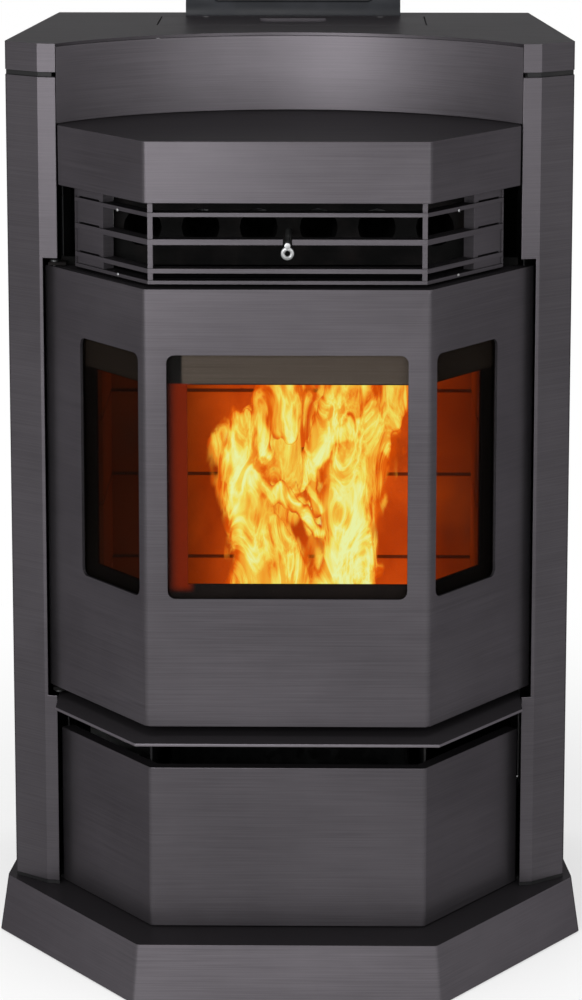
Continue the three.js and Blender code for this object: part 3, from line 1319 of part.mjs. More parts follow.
// The lid plate with a recessed finger cup, a shallow skirt and a rolled rear edge.
function hopperLid() {
  const skirtLow = TOP_UNDER - SHEET - PLATE;
  const skirtBack = SEAL_BACK;
  const skirt = cut(
    symmetricBox(LID_HALF, LID_FRONT, skirtBack, skirtLow, TOP_UNDER + OVERCUT),
    symmetricBox(LID_HALF - SHEET, LID_FRONT + SHEET, skirtBack + 1, skirtLow - 1, TOP_UNDER),
  );
  const cupBack = CUP_FRONT + CUP_LENGTH;
  const cup = symmetricBox(CUP_HALF + SHEET, CUP_FRONT - SHEET, cupBack + SHEET,
    TOP_Z - CUP_DEPTH - SHEET, TOP_Z);
  const hollow = symmetricBox(CUP_HALF, CUP_FRONT, cupBack, TOP_Z - CUP_DEPTH, TOP_Z + OVERCUT);
  const axis = (half) => [[-half, LID_AXIS_Y, LID_AXIS_Z], [half, LID_AXIS_Y, LID_AXIS_Z]];
  const notches = [-1, 1].map((side) => {
    const notchHalf = LID_EAR / 2 + 2 * GAP;
    const x = side * LID_EAR_X;
    return box(x - notchHalf, x + notchHalf, LID_AXIS_Y - 2 * PLATE, LID_BACK + OVERCUT,
      COLLAR_Z, TOP_Z + OVERCUT);
  });
  return cut(
    joined(symmetricBox(LID_HALF, LID_FRONT, LID_BACK, TOP_UNDER, TOP_Z), skirt, cup,
      rod(LID_KNUCKLE, ...axis(LID_HALF))),
    hollow,
    rod(LID_PIN + GAP, ...axis(LID_HALF + OVERCUT), SMALL_SIDES),
    ...notches,
  );
}

function lidSeal() {
  const low = COLLAR_Z + GAP;
  const top = TOP_UNDER - GAP;
  return cut(
    symmetricBox(SEAL_HALF, SEAL_FRONT, SEAL_BACK, low, top),
    symmetricBox(SEAL_HALF - SEAL_WIDTH, SEAL_FRONT + SEAL_WIDTH, SEAL_BACK - SEAL_WIDTH,
      low - OVERCUT, top + OVERCUT),
  );
}

addPiece(lid, 'hopper_lid', hopperLid(), charcoal);
addPiece(casing, 'lid_seal', lidSeal(), fibre);
addPiece(casing, 'lid_hinge_pin', rod(LID_PIN, [-LID_HALF, LID_AXIS_Y, LID_AXIS_Z],
  [LID_HALF, LID_AXIS_Y, LID_AXIS_Z], SMALL_SIDES), steel);

// ---------------------------------------------------------------- console

const CONSOLE_LOW = TOP_Z + GAP;
const CONSOLE_TOP = TOP_Z + CONSOLE_HEIGHT;
const SLOPE_START = [CONSOLE_FRONT, CONSOLE_LOW + CONSOLE_STEP];
const SLOPE_RUN = BACK - CONSOLE_SHELF - CONSOLE_FRONT;
const SLOPE_RISE = CONSOLE_TOP - SLOPE_START[1];
const SLOPE_LENGTH = Math.hypot(SLOPE_RUN, SLOPE_RISE);

// A place on the console's sloping face: a across, b up the slope, c out of it.
function onConsole(a, b, c) {
  const up = [SLOPE_RUN / SLOPE_LENGTH, SLOPE_RISE / SLOPE_LENGTH];
  return [a, SLOPE_START[0] + up[0] * b - up[1] * c, SLOPE_START[1] + up[1] * b + up[0] * c];
}

function buttonOutline(x, margin) {
  const half = BUTTON_HALF_WIDTH + margin;
  const middle = SLOPE_LENGTH / 2;
  return roundedRectangle(x - half, x + half, middle - BUTTON_HALF_HEIGHT - margin,
    middle + BUTTON_HALF_HEIGHT + margin, BUTTON_CORNER + margin, BUTTON_CORNER_STEPS);
}

function buttonPlaces() {
  return Array.from({ length: BUTTON_COUNT }, (_, i) => (i - (BUTTON_COUNT - 1) / 2) * BUTTON_PITCH);
}

function consoleHousing() {
  const line = [[BACK, CONSOLE_LOW], [BACK, CONSOLE_TOP], [BACK - CONSOLE_SHELF, CONSOLE_TOP],
    SLOPE_START, [CONSOLE_FRONT, CONSOLE_LOW]];
  const cheeks = [[-CONSOLE_HALF, -CONSOLE_HALF + SHEET], [CONSOLE_HALF - SHEET, CONSOLE_HALF]];
  const holes = buttonPlaces().map((x) => extruded(buttonOutline(x, GAP), -2 * SHEET, SHEET, onConsole));
  return cut(
    joined(
      extruded(strip(line, 0, SHEET), -CONSOLE_HALF, CONSOLE_HALF, ACROSS),
      ...cheeks.map((span) => extruded(line, ...span, ACROSS)),
    ),
    ...holes,
  );
}

function keypad() {
  const face = roundedRectangle(-KEYPAD_HALF, KEYPAD_HALF, KEYPAD_MARGIN,
    SLOPE_LENGTH - KEYPAD_MARGIN, 2 * PLATE);
  const holes = buttonPlaces().map((x) => extruded(buttonOutline(x, GAP), 0, 2 * PLATE, onConsole));
  return cut(extruded(face, GAP, GAP + KEYPAD_THICKNESS, onConsole), ...holes);
}

addPiece(casing, 'console_housing', consoleHousing(), greyPlastic);
addPiece(casing, 'keypad', keypad(), blackPlastic);
buttonPlaces().forEach((x, i) => {
  const button = extruded(buttonOutline(x, 0), -BUTTON_ROOT - SHEET, BUTTON_RISE, onConsole);
  addPiece(bodyGroup(), `button_${i + 1}`, button, greyPlastic);
});

// ---------------------------------------------------------------- blowers

// A fan wheel along X: a disc at its driven end, an open ring and slightly pitched blades.
function fanWheel(discX, ringX, y, z, radius, depth, blades) {
  const way = Math.sign(ringX - discX);
  const span = (a, b) => [Math.min(a, b), Math.max(a, b)];
  const around = (r, sides = BORE_SIDES) => circle(r, sides, y, z);
  const disc = extruded(around(radius), ...span(discX, discX + way * SHEET), ACROSS);
  const ring = cut(
    extruded(around(radius), ...span(ringX, ringX - way * SHEET), ACROSS),
    extruded(around(radius - depth), ...span(ringX + way, ringX - way * 2 * SHEET), ACROSS),
  );
  const hub = extruded(around(2 * MOTOR_SHAFT, ROD_SIDES),
    ...span(discX, discX + way * 3 * MOTOR_SHAFT), ACROSS);
  const vanes = [];
  for (let i = 0; i < blades; i += 1) {
    const angle = (i / blades) * 2 * Math.PI;
    const pitch = angle + Math.PI / (2 * blades);
    const tip = [y + (radius - PLAY) * Math.cos(pitch), z + (radius - PLAY) * Math.sin(pitch)];
    const root = [y + (radius - depth) * Math.cos(angle), z + (radius - depth) * Math.sin(angle)];
    vanes.push(extruded(strip([root, tip], -BLADE / 2, BLADE / 2), ...span(discX, ringX), ACROSS));
  }
  const bore = extruded(around(MOTOR_SHAFT + GAP, ROD_SIDES), ...span(discX - way, ringX), ACROSS);
  return cut(joined(disc, ring, hub, ...vanes), bore);
}

// A round blower casing along X with a square outlet; grow is negative for its inside.
function scroll(left, right, y, z, radius, outlet, grow) {
  const body = extruded(circle(radius + grow, SCROLL_SIDES, y, z), left - grow, right + grow, ACROSS);
  return joined(body, box(left - grow, right + grow, ...outlet));
}

function motor(face, length, radius, shaftEnd, y, z) {
  const way = Math.sign(length);
  return joined(
    rod(radius, [face, y, z], [face + length, y, z]),
    rod(MOTOR_SHAFT, [face + way, y, z], [shaftEnd, y, z]),
  );
}

const SHAFT_HOLE = MOTOR_SHAFT + 2 * GAP;

function convectionHousing() {
  const [y, z, radius] = [CONVECTION_Y, CONVECTION_Z, CONVECTION_RADIUS];
  const half = CONVECTION_HALF;
  const front = y - radius;
  const ductBack = front + CONVECTION_DUCT_DEPTH;
  const foot = symmetricBox(half - 2 * SHEET, y - radius / 2, y + radius / 2, CASING_LOW, z);
  const outside = scroll(-half, half, y, z, radius, [front, ductBack, z, CONVECTION_DUCT_TOP], 0);
  const inside = scroll(-half, half, y, z, radius,
    [front + SHEET, ductBack - SHEET, z, CONVECTION_DUCT_TOP + OVERCUT], -SHEET);
  const hollowFoot = symmetricBox(half - 3 * SHEET, y - radius / 2 + SHEET, y + radius / 2 - SHEET,
    CASING_LOW - OVERCUT, z - radius);
  return cut(
    joined(outside, foot), inside, hollowFoot,
    extruded(circle(CONVECTION_INLET, BORE_SIDES, y, z), -half - OVERCUT, -half + SHEET + OVERCUT, ACROSS),
    extruded(circle(SHAFT_HOLE, ROD_SIDES, y, z), half - SHEET - OVERCUT, half + OVERCUT, ACROSS),
  );
}

function exhaustHousing() {
  const [y, z, radius] = [EXHAUST_AXIS_Y, EXHAUST_AXIS_Z, EXHAUST_RADIUS];
  const left = -EXHAUST_X - EXHAUST_PIPE_RADIUS;
  const right = -EXHAUST_X + EXHAUST_PIPE_RADIUS;
  const low = EXHAUST_Z - EXHAUST_PIPE_RADIUS;
  const high = EXHAUST_Z + EXHAUST_PIPE_RADIUS;
  const back = EXHAUST_OUTLET_BACK;
  const foot = box(left + SHEET, right - SHEET, y - radius / 2, y + radius / 2, CASING_LOW, z);
  const hollowFoot = box(left + 2 * SHEET, right - 2 * SHEET, y - radius / 2 + SHEET,
    y + radius / 2 - SHEET, CASING_LOW - OVERCUT, z - radius);
  const outlet = circle(EXHAUST_PIPE_RADIUS - SHEET, SCROLL_SIDES, -EXHAUST_X, EXHAUST_Z);
  return cut(
    joined(scroll(left, right, y, z, radius, [y, back, low, high], 0), foot),
    scroll(left, right, y, z, radius, [y, back - SHEET, low + SHEET, high - SHEET], -SHEET),
    hollowFoot,
    extruded(outlet, back - SHEET - 1, back + 1, BACKWARDS),
    extruded(circle(EXHAUST_INLET, ROD_SIDES, y, z), left - OVERCUT, left + SHEET + OVERCUT, ACROSS),
    extruded(circle(SHAFT_HOLE, ROD_SIDES, y, z), right - SHEET - OVERCUT, right + OVERCUT, ACROSS),
  );
}

// The flue gas duct from the firebox's rear wall down to the exhaust blower's inlet.
function exhaustDuct() {
  const right = -EXHAUST_X - EXHAUST_PIPE_RADIUS - GAP;
  const left = right - FLUE_DUCT_WIDTH;
  const front = EXHAUST_AXIS_Y - FLUE_DUCT_HALF_DEPTH;
  const back = EXHAUST_AXIS_Y + FLUE_DUCT_HALF_DEPTH;
  const armRight = -EXHAUST_X + INTAKE_RADIUS + SHEET;
  const armFront = BOX_BACK + GAP;
  const armBack = front + SHEET;
  const [low, high] = [FLUE_DUCT_ARM_LOW, FLUE_DUCT_HIGH];
  const mouth = box(-FLUE_HALF + PLATE, armRight - SHEET, armFront - OVERCUT, armFront + 2 * SHEET,
    low + PLATE, high - PLATE);
  return cut(
    joined(
      box(left, right, front, back, FLUE_DUCT_LOW, high),
      box(left, armRight, armFront, armBack, low, high),
    ),
    box(left + SHEET, right - SHEET, front + SHEET, back - SHEET, FLUE_DUCT_LOW + SHEET, high - SHEET),
    box(left + SHEET, armRight - SHEET, armFront + SHEET, armBack - SHEET, low + SHEET, high - SHEET),
    box(left + SHEET, right - SHEET, armFront + SHEET, front + 2 * SHEET, low + SHEET, high - SHEET),
    mouth,
    extruded(circle(EXHAUST_INLET, ROD_SIDES, EXHAUST_AXIS_Y, EXHAUST_AXIS_Z), right - SHEET - OVERCUT,
      right + OVERCUT, ACROSS),
  );
}

function pipe(radius, x, z, front, back) {
  return cut(
    extruded(circle(radius, WIDE_SIDES, x, z), front, back, BACKWARDS),
    extruded(circle(radius - SHEET, WIDE_SIDES, x, z), front - OVERCUT, back + OVERCUT, BACKWARDS),
  );
}

const convectionWheelGroup = bodyGroup();
const exhaustWheelGroup = bodyGroup();
const convectionInside = CONVECTION_HALF - 3 * SHEET;
const exhaustLeft = -EXHAUST_X - EXHAUST_PIPE_RADIUS;
const exhaustRight = -EXHAUST_X + EXHAUST_PIPE_RADIUS;

addPiece(casing, 'convection_housing', convectionHousing(), steel);
addPiece(convectionWheelGroup, 'convection_wheel', fanWheel(convectionInside, -convectionInside,
  CONVECTION_Y, CONVECTION_Z, CONVECTION_WHEEL, CONVECTION_WHEEL / 4, WHEEL_BLADES), aluminium);
addPiece(casing, 'convection_motor', motor(CONVECTION_HALF + GAP, CONVECTION_MOTOR_LENGTH,
  CONVECTION_MOTOR_RADIUS, CONVECTION_HALF / 2, CONVECTION_Y, CONVECTION_Z), steel);
addPiece(casing, 'exhaust_housing', exhaustHousing(), steel);
addPiece(exhaustWheelGroup, 'exhaust_wheel', fanWheel(exhaustRight - 3 * SHEET,
  exhaustLeft + 3 * SHEET, EXHAUST_AXIS_Y, EXHAUST_AXIS_Z, EXHAUST_WHEEL,
  EXHAUST_WHEEL - EXHAUST_INLET, EXHAUST_BLADES), aluminium);
addPiece(casing, 'exhaust_motor', motor(exhaustRight + GAP, EXHAUST_MOTOR_LENGTH,
  EXHAUST_MOTOR_RADIUS, exhaustRight - EXHAUST_PIPE_RADIUS / 2, EXHAUST_AXIS_Y,
  EXHAUST_AXIS_Z), steel);
addPiece(casing, 'exhaust_duct', exhaustDuct(), steel);
addPiece(casing, 'exhaust_pipe', pipe(EXHAUST_PIPE_RADIUS, -EXHAUST_X, EXHAUST_Z,
  EXHAUST_OUTLET_BACK + GAP, EXHAUST_PIPE_END), steel);
addPiece(casing, 'intake_pipe', pipe(INTAKE_RADIUS, INTAKE_X, INTAKE_Z, BOX_BACK + GAP,
  INTAKE_END), steel);

// ---------------------------------------------------------------- power inlet

function powerInlet() {
  const span = (margin) => [INLET_X - INLET_HALF_WIDTH - margin, INLET_X + INLET_HALF_WIDTH + margin];
  const rise = (margin) => [INLET_Z - INLET_HALF_HEIGHT - margin, INLET_Z + INLET_HALF_HEIGHT + margin];
  const blades = [-1, 0, 1].map((place) => {
    const x = INLET_X + (place * INLET_HALF_WIDTH) / 2;
    const z = INLET_Z + (place === 0 ? PLATE : -PLATE);
    return box(x - INLET_BLADE / 2, x + INLET_BLADE / 2, BACK - INLET_DEPTH + OVERCUT, BACK - PLATE,
      z - INLET_BLADE, z + INLET_BLADE);
  });
  const shell = cut(
    joined(
      box(...span(0), BACK - INLET_DEPTH, BACK + OVERCUT, ...rise(0)),
      box(...span(INLET_RIM), BACK, BACK + SHEET, ...rise(INLET_RIM)),
    ),
    box(...span(-SHEET), BACK - INLET_DEPTH + SHEET, BACK + 2 * SHEET, ...rise(-SHEET)),
  );
  return joined(shell, ...blades);
}

addPiece(casing, 'power_inlet', powerInlet(), blackPlastic);

export default stove;
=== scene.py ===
"""Looks of a bay-fronted pellet stove: finishes, fire, fixings, stage and camera.

Everything is in metres, with X to the right, Y to the rear and Z up.
"""

import json
import math

import bmesh
import bpy
import numpy as np
from bpy.props import FloatProperty, FloatVectorProperty, IntProperty, PointerProperty
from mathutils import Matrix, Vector, noise


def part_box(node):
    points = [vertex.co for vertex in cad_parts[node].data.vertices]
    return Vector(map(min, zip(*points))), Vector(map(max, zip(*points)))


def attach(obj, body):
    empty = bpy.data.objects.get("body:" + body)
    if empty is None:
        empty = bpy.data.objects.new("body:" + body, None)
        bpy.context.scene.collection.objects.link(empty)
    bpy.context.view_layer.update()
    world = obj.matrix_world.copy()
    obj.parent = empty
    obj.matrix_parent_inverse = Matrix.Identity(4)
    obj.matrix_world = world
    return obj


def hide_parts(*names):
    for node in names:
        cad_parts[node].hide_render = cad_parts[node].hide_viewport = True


bl_info = {
    "name": "Pellet stove looks",
    "version": (1, 0, 0),
    "blender": (4, 5, 0),
    "location": "View3D > Sidebar > Stove",
    "description": "Dresses the pellet stove's solids and lights its fire",
    "category": "Object",
}

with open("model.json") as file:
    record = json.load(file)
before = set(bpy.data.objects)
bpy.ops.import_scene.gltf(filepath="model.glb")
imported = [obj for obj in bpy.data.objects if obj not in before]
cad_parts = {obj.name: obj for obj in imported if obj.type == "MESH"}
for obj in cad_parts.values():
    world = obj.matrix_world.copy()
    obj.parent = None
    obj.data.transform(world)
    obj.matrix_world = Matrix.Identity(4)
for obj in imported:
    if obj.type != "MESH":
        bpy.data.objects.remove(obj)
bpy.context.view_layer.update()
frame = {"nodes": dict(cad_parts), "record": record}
NODES = frame["nodes"]
BODY_OF = {
    node: body
    for body, members in frame["record"]["behaviour"]["bodies"].items()
    for node in members
}
SLOT_OF = {node: piece.data.materials[0].name for node, piece in NODES.items()}


# ---------------------------------------------------------------- shader maths

# A Mix node has sockets of the same name for each type, so the colours' go by number.
MIX_LOW, MIX_HIGH, MIX_RESULT = 6, 7, 2


class Value:
    """A socket that varies over the surface. Arithmetic on it adds Math nodes."""

    def __init__(self, bench, socket):
        self.bench = bench
        self.socket = socket

    def maths(self, operation, *values):
        settings = {"operation": operation}
        return self.bench.node("ShaderNodeMath", settings, dict(enumerate(values)))

    def __add__(self, other):
        return self.maths("ADD", self, other)

    def __sub__(self, other):
        return self.maths("SUBTRACT", self, other)

    def __rsub__(self, other):
        return self.maths("SUBTRACT", other, self)

    def __mul__(self, other):
        return self.maths("MULTIPLY", self, other)

    def __truediv__(self, other):
        return self.maths("DIVIDE", self, other)

    def __pow__(self, other):
        return self.maths("POWER", self, other)

    def __abs__(self):
        return self.maths("ABSOLUTE", self)

    __radd__ = __add__
    __rmul__ = __mul__

    def at_least(self, other):
        """The larger of the two."""
        return self.maths("MAXIMUM", self, other)

    def wrapped(self, size):
        """The rest that is left after whole steps of the size."""
        return self.maths("WRAP", self, size, 0)

    def ramp(self, low, high):
        """0 below low, 1 above high and smooth between them."""
        sockets = {"Value": self, "From Min": low, "From Max": high}
        settings = {"interpolation_type": "SMOOTHSTEP"}
        return self.bench.node("ShaderNodeMapRange", settings, sockets)

    def colours(self, *stops):
        """A colour for each place on the way from 0 to 1."""
        return self.bench.node("ShaderNodeValToRGB", {"stops": stops}, {"Fac": self})


class Bench:
    """Where the shader nodes of a material or of the world are put together."""

    def __init__(self, owner, output_kind):
        owner.use_nodes = True
        self.owner = owner
        self.tree = owner.node_tree
        self.tree.nodes.clear()
        self.output = self.tree.nodes.new(output_kind)

    def node(self, kind, settings=None, sockets=None, out=0):
        """Adds a node: its settings first, then its sockets' values or links.

        What comes back is its output of the given name or number.
        """
        made = self.tree.nodes.new(kind)
        for name, setting in (settings or {}).items():
            if name == "stops":
                ramp = made.color_ramp.elements
                while len(ramp) < len(setting):
                    ramp.new(1.0)
                for element, (place, colour) in zip(ramp, setting):
                    element.position = place
                    element.color = (*colour, 1.0)
            else:
                setattr(made, name, setting)
        for name, value in (sockets or {}).items():
            socket = made.inputs[name]
            if isinstance(value, Value):
                self.tree.links.new(value.socket, socket)
            elif isinstance(value, tuple) and len(value) == 3 and socket.type == "RGBA":
                socket.default_value = (*value, 1.0)
            else:
                socket.default_value = value
        return Value(self, made.outputs[out])

    def shown(self, shader):
        """Links the shader to the output, and gives back what it is the look of."""
        self.tree.links.new(shader.socket, self.output.inputs["Surface"])
        return self.owner


class Finish(Bench):
    """A material with the nodes that make its surface."""

    def __init__(self, name):
        super().__init__(bpy.data.materials.new(name), "ShaderNodeOutputMaterial")

    def place(self, scale=(1, 1, 1)):
        """The surface's own coordinates, stretched."""
        own = self.node("ShaderNodeTexCoord", out="Object")
        return self.node("ShaderNodeMapping", None, {"Vector": own, "Scale": scale})

    def axis(self, letter):
        """How far along X, Y or Z each place of the surface lies."""
        own = self.node("ShaderNodeTexCoord", out="Object")
        return self.node("ShaderNodeSeparateXYZ", None, {0: own}, out=letter)

    def cloud(self, scale, stretch=(1, 1, 1), detail=3.0, roughness=0.55, distortion=0.0):
        """Soft noise from 0 to 1, stretched along the axes."""
        sockets = {
            "Vector": self.place(stretch),
            "Scale": scale,
            "Detail": detail,
            "Roughness": roughness,
            "Distortion": distortion,
        }
        return self.node("ShaderNodeTexNoise", None, sockets)

    def blend(self, factor, low, high):
        """The low colour where the factor is 0, the high one where it is 1."""
        sockets = {"Factor": factor, MIX_LOW: low, MIX_HIGH: high}
        return self.node("ShaderNodeMix", {"data_type": "RGBA"}, sockets, out=MIX_RESULT)

    def bumps(self, height, strength, distance):
        """The surface's direction with small bumps of the given height."""
        sockets = {"Height": height, "Strength": strength, "Distance": distance}
        return self.node("ShaderNodeBump", None, sockets)

    def surface(self, **sockets):
        """The main shader. Sockets are named with _ for a space."""
        named = {name.replace("_", " "): value for name, value in sockets.items()}
        return self.node("ShaderNodeBsdfPrincipled", None, named)


def made_once(maker):
    """A finish is made the first time that it is asked for."""
    kept = {}

    def finish(*choices):
        if choices not in kept:
            kept[choices] = maker(*choices)
        return kept[choices]

    return finish


def sizes():
    """The sizes, colours and strengths that a user can change."""
    return bpy.context.scene.stove_looks


def scaled(colour, factor):
    """The colour made darker or lighter."""
    return tuple(part * factor for part in colour)


# ---------------------------------------------------------------- finishes


@made_once
def charcoal_paint(painted_light=1.0, spread=0.0):
    """Charcoal metallic enamel, brushed level, with a slow mottle and painted shade where
    it lies.
    """
    paint = Finish(f"charcoal_enamel_{painted_light:.2f}_{spread:.2f}")
    # Painted light: a node that catches more light gets a lighter copy of the enamel.
    tone = scaled(sizes().charcoal, painted_light)
    normal = paint.node("ShaderNodeNewGeometry", out="Normal")
    lying = paint.node("ShaderNodeSeparateXYZ", None, {0: normal}, out="Z").ramp(0.75, 0.95)
    # The brushing is long from side to side, and fine up a face or across a lying one.
    upright = paint.cloud(1.0, (9, 9, 1700), 2.0, 0.6)
    level = paint.cloud(1.0, (9, 1400, 9), 2.0, 0.6)
    grain = upright * (1 - lying) + level * lying
    fine = paint.cloud(900, (0.35, 0.35, 1), 2.0)
    mottle = paint.cloud(5, (1, 1, 1.4), 4.0, 0.6)
    tint = grain.ramp(0.3, 0.7) * 0.55 + mottle.ramp(0.3, 0.72) * 0.45
    enamel = paint.blend(tint, scaled(tone, 0.8), scaled(tone, 1.19))
    return paint.shown(paint.surface(
        # Faces that lie get painted shade: a darker base colour.
        Base_Color=paint.blend(lying * 0.85, enamel, scaled(tone, 0.6)),
        Metallic=0.82,
        Roughness=0.3 + spread + 0.14 * grain + 0.07 * mottle,
        Specular_IOR_Level=0.2,
        Specular_Tint=(0.07, 0.066, 0.073),
        Normal=paint.bumps(grain + fine * 0.6, sizes().brushing, 0.00006),
    ))


@made_once
def black_sheet():
    """Near-black powder coat with a fine orange peel."""
    paint = Finish("black_powder_coat")
    peel = paint.cloud(1400, detail=2.0)
    dust = paint.cloud(14, (1, 1, 2), 5.0).ramp(0.5, 0.75)
    return paint.shown(paint.surface(
        Base_Color=paint.blend(dust, (0.006, 0.006, 0.0065), (0.02, 0.019, 0.018)),
        Metallic=0.2,
        Roughness=0.55 + dust * 0.2,
        Specular_IOR_Level=0.25,
        Normal=paint.bumps(peel, 0.25, 0.00008),
    ))


@made_once
def bright_steel(tone=1.0):
    """Zinc-coated sheet: grey spangles and a trace of rolling, darker where it is hot."""
    paint = Finish(f"zinc_sheet_{tone:.2f}")
    cells = paint.node("ShaderNodeTexVoronoi", {"feature": "F1"}, {
        "Vector": paint.place(), "Scale": 130.0}, out="Color")
    spangle = paint.node("ShaderNodeSeparateColor", None, {0: cells})
    rolled = paint.cloud(1.0, (6, 6, 500), 2.0)
    stain = paint.cloud(9, detail=5.0).ramp(0.45, 0.8)
    tint = spangle * 0.6 + rolled * 0.4
    dull, bright = scaled((0.27, 0.275, 0.28), tone), scaled((0.46, 0.465, 0.47), tone)
    stained = scaled((0.2, 0.19, 0.17), tone)
    return paint.shown(paint.surface(
        Base_Color=paint.blend(stain * 0.5, paint.blend(tint, dull, bright), stained),
        Metallic=0.92,
        Roughness=0.3 + 0.16 * spangle + 0.1 * stain,
        Normal=paint.bumps(rolled, 0.12, 0.0001),
    ))


@made_once
def retainer_steel():
    """The panes' frame: olive-grey air band above with a painted shadow strip,
    heat-blackened elsewhere, with painted firelight at its left side.
    """
    paint = Finish("heat_tinted_steel")
    looks = sizes()
    across, height = paint.axis("X"), paint.axis("Z")
    high = height.ramp(looks.band_height, looks.band_height + 0.002)
    rolled = paint.cloud(1.0, (5, 5, 700), 2.0)
    soot = paint.cloud(30, (1, 1, 0.6), 5.0)
    band = paint.blend(rolled, (0.034, 0.028, 0.0235), (0.06, 0.052, 0.045))
    # Painted shadow: the band is dark in a strip near its left side.
    clear_of_shadow_strip = abs(across - looks.shadow_strip_place).ramp(0.0095, 0.0125)
    band = paint.blend(clear_of_shadow_strip, (0.004, 0.004, 0.004), band)
    heat_black_and_firelit = paint.blend(soot, (0.002, 0.0018, 0.002), (0.008, 0.006, 0.0055))
    # A strip of its left side has the fire's red light painted on it.
    firelit = across.ramp(-0.121, -0.106) * (1 - across.ramp(-0.1, -0.09))
    firelit = firelit * height.ramp(0.407, 0.416)
    heat_black_and_firelit = paint.blend(firelit, heat_black_and_firelit, (0.1, 0.0085, 0.001))
    return paint.shown(paint.surface(
        Base_Color=paint.blend(high, heat_black_and_firelit, band),
        Specular_IOR_Level=0.03,
        Roughness=0.55 + 0.15 * soot,
        Normal=paint.bumps(rolled, 0.2, 0.0001),
    ))


@made_once
def cast_iron(near_black=False):
    """Sand-cast iron with fire scale and rusty patches, or near black."""
    paint = Finish("sooty_iron" if near_black else "cast_iron")
    sand = paint.cloud(650, detail=4.0, roughness=0.7)
    scale = paint.cloud(26, detail=6.0).ramp(0.42, 0.7)
    rust = paint.cloud(11, detail=4.0).ramp(0.6, 0.78)
    if near_black:
        bare = paint.blend(scale, (0.003, 0.003, 0.003), (0.009, 0.008, 0.008))
        rusted = rust * 0.056
    else:
        bare = paint.blend(scale, (0.014, 0.0135, 0.0135), (0.045, 0.041, 0.038))
        rusted = rust * 0.7
    return paint.shown(paint.surface(
        Base_Color=paint.blend(rusted, bare, (0.10, 0.034, 0.014)),
        Metallic=0.0 if near_black else 0.4,
        Specular_IOR_Level=0.03 if near_black else 0.2,
        Roughness=0.62 + 0.25 * scale,
        Normal=paint.bumps(sand + scale * 0.8, 0.5, 0.0003),
    ))


@made_once
def gasket_fibre():
    """Woven glass-fibre rope."""
    paint = Finish("woven_fibre")
    weave = {"bands_direction": "DIAGONAL", "wave_profile": "SIN"}
    strand = paint.node("ShaderNodeTexWave", weave, {
        "Vector": paint.place(), "Scale": 220.0, "Distortion": 1.5}, out="Fac")
    grime = paint.cloud(24, detail=5.0).ramp(0.4, 0.75)
    yarn = paint.blend(strand, (0.24, 0.22, 0.185), (0.53, 0.5, 0.44))
    return paint.shown(paint.surface(
        Base_Color=paint.blend(grime * 0.6, yarn, (0.07, 0.062, 0.055)),
        Roughness=0.92,
        Specular_IOR_Level=0.2,
        Normal=paint.bumps(strand, 0.7, 0.0006),
    ))


@made_once
def stove_glass(shaded_sides=False):
    """Ceramic pane: clear in the middle and darkened at the sides as painted shade, with a
    faint gloss.
    """
    paint = Finish("smoked_pane" if shaded_sides else "ceramic_pane")
    # The side panes let less through: painted shade.
    through = (0.61, 0.585, 0.565) if shaded_sides else (0.97, 0.955, 0.94)
    film = paint.cloud(18, (1, 1, 0.5), 4.0).ramp(0.45, 0.8)
    facing = paint.node("ShaderNodeLayerWeight", None, {"Blend": 0.5}, out="Facing")
    clear = paint.node("ShaderNodeBsdfTransparent", None, {"Color": through})
    gloss = paint.surface(
        Base_Color=(0.03, 0.022, 0.016),
        Roughness=0.06,
        Specular_IOR_Level=0.5,
    )
    share = facing ** 4 * 0.15 + film * 0.008 + 0.004
    pane = paint.node("ShaderNodeMixShader", None, {0: share, 1: clear, 2: gloss})
    return paint.shown(pane)


@made_once
def plastic(tone):
    """Fine-grained moulded plastic."""
    paint = Finish(f"{tone}_moulding")
    grain = paint.cloud(2400, detail=2.0)
    handled = paint.cloud(20, detail=4.0).ramp(0.4, 0.8)
    low, high = {
        "black": ((0.006, 0.006, 0.007), (0.016, 0.016, 0.018)),
        "slate": ((0.008, 0.009, 0.012), (0.017, 0.0185, 0.023)),
        "grey": ((0.2, 0.21, 0.235), (0.27, 0.28, 0.305)),
    }[tone]
    return paint.shown(paint.surface(
        Base_Color=paint.blend(handled, low, high),
        Roughness=0.36 + 0.14 * handled + 0.05 * grain,
        Specular_IOR_Level=0.2 if tone == "slate" else 0.45,
        Normal=paint.bumps(grain, 0.18, 0.00006),
    ))


@made_once
def fan_aluminium():
    """Pressed aluminium with round turning marks and dust."""
    paint = Finish("turned_aluminium")
    rings = {"wave_type": "RINGS", "rings_direction": "X"}
    turned = paint.node("ShaderNodeTexWave", rings, {
        "Vector": paint.place(), "Scale": 160.0, "Distortion": 0.4}, out="Fac")
    dust = paint.cloud(40, detail=5.0).ramp(0.45, 0.75)
    metal = paint.blend(turned, (0.4, 0.405, 0.41), (0.52, 0.525, 0.53))
    return paint.shown(paint.surface(
        Base_Color=paint.blend(dust * 0.6, metal, (0.16, 0.15, 0.135)),
        Metallic=0.88,
        Roughness=0.32 + 0.3 * dust,
        Normal=paint.bumps(turned, 0.1, 0.00005),
    ))


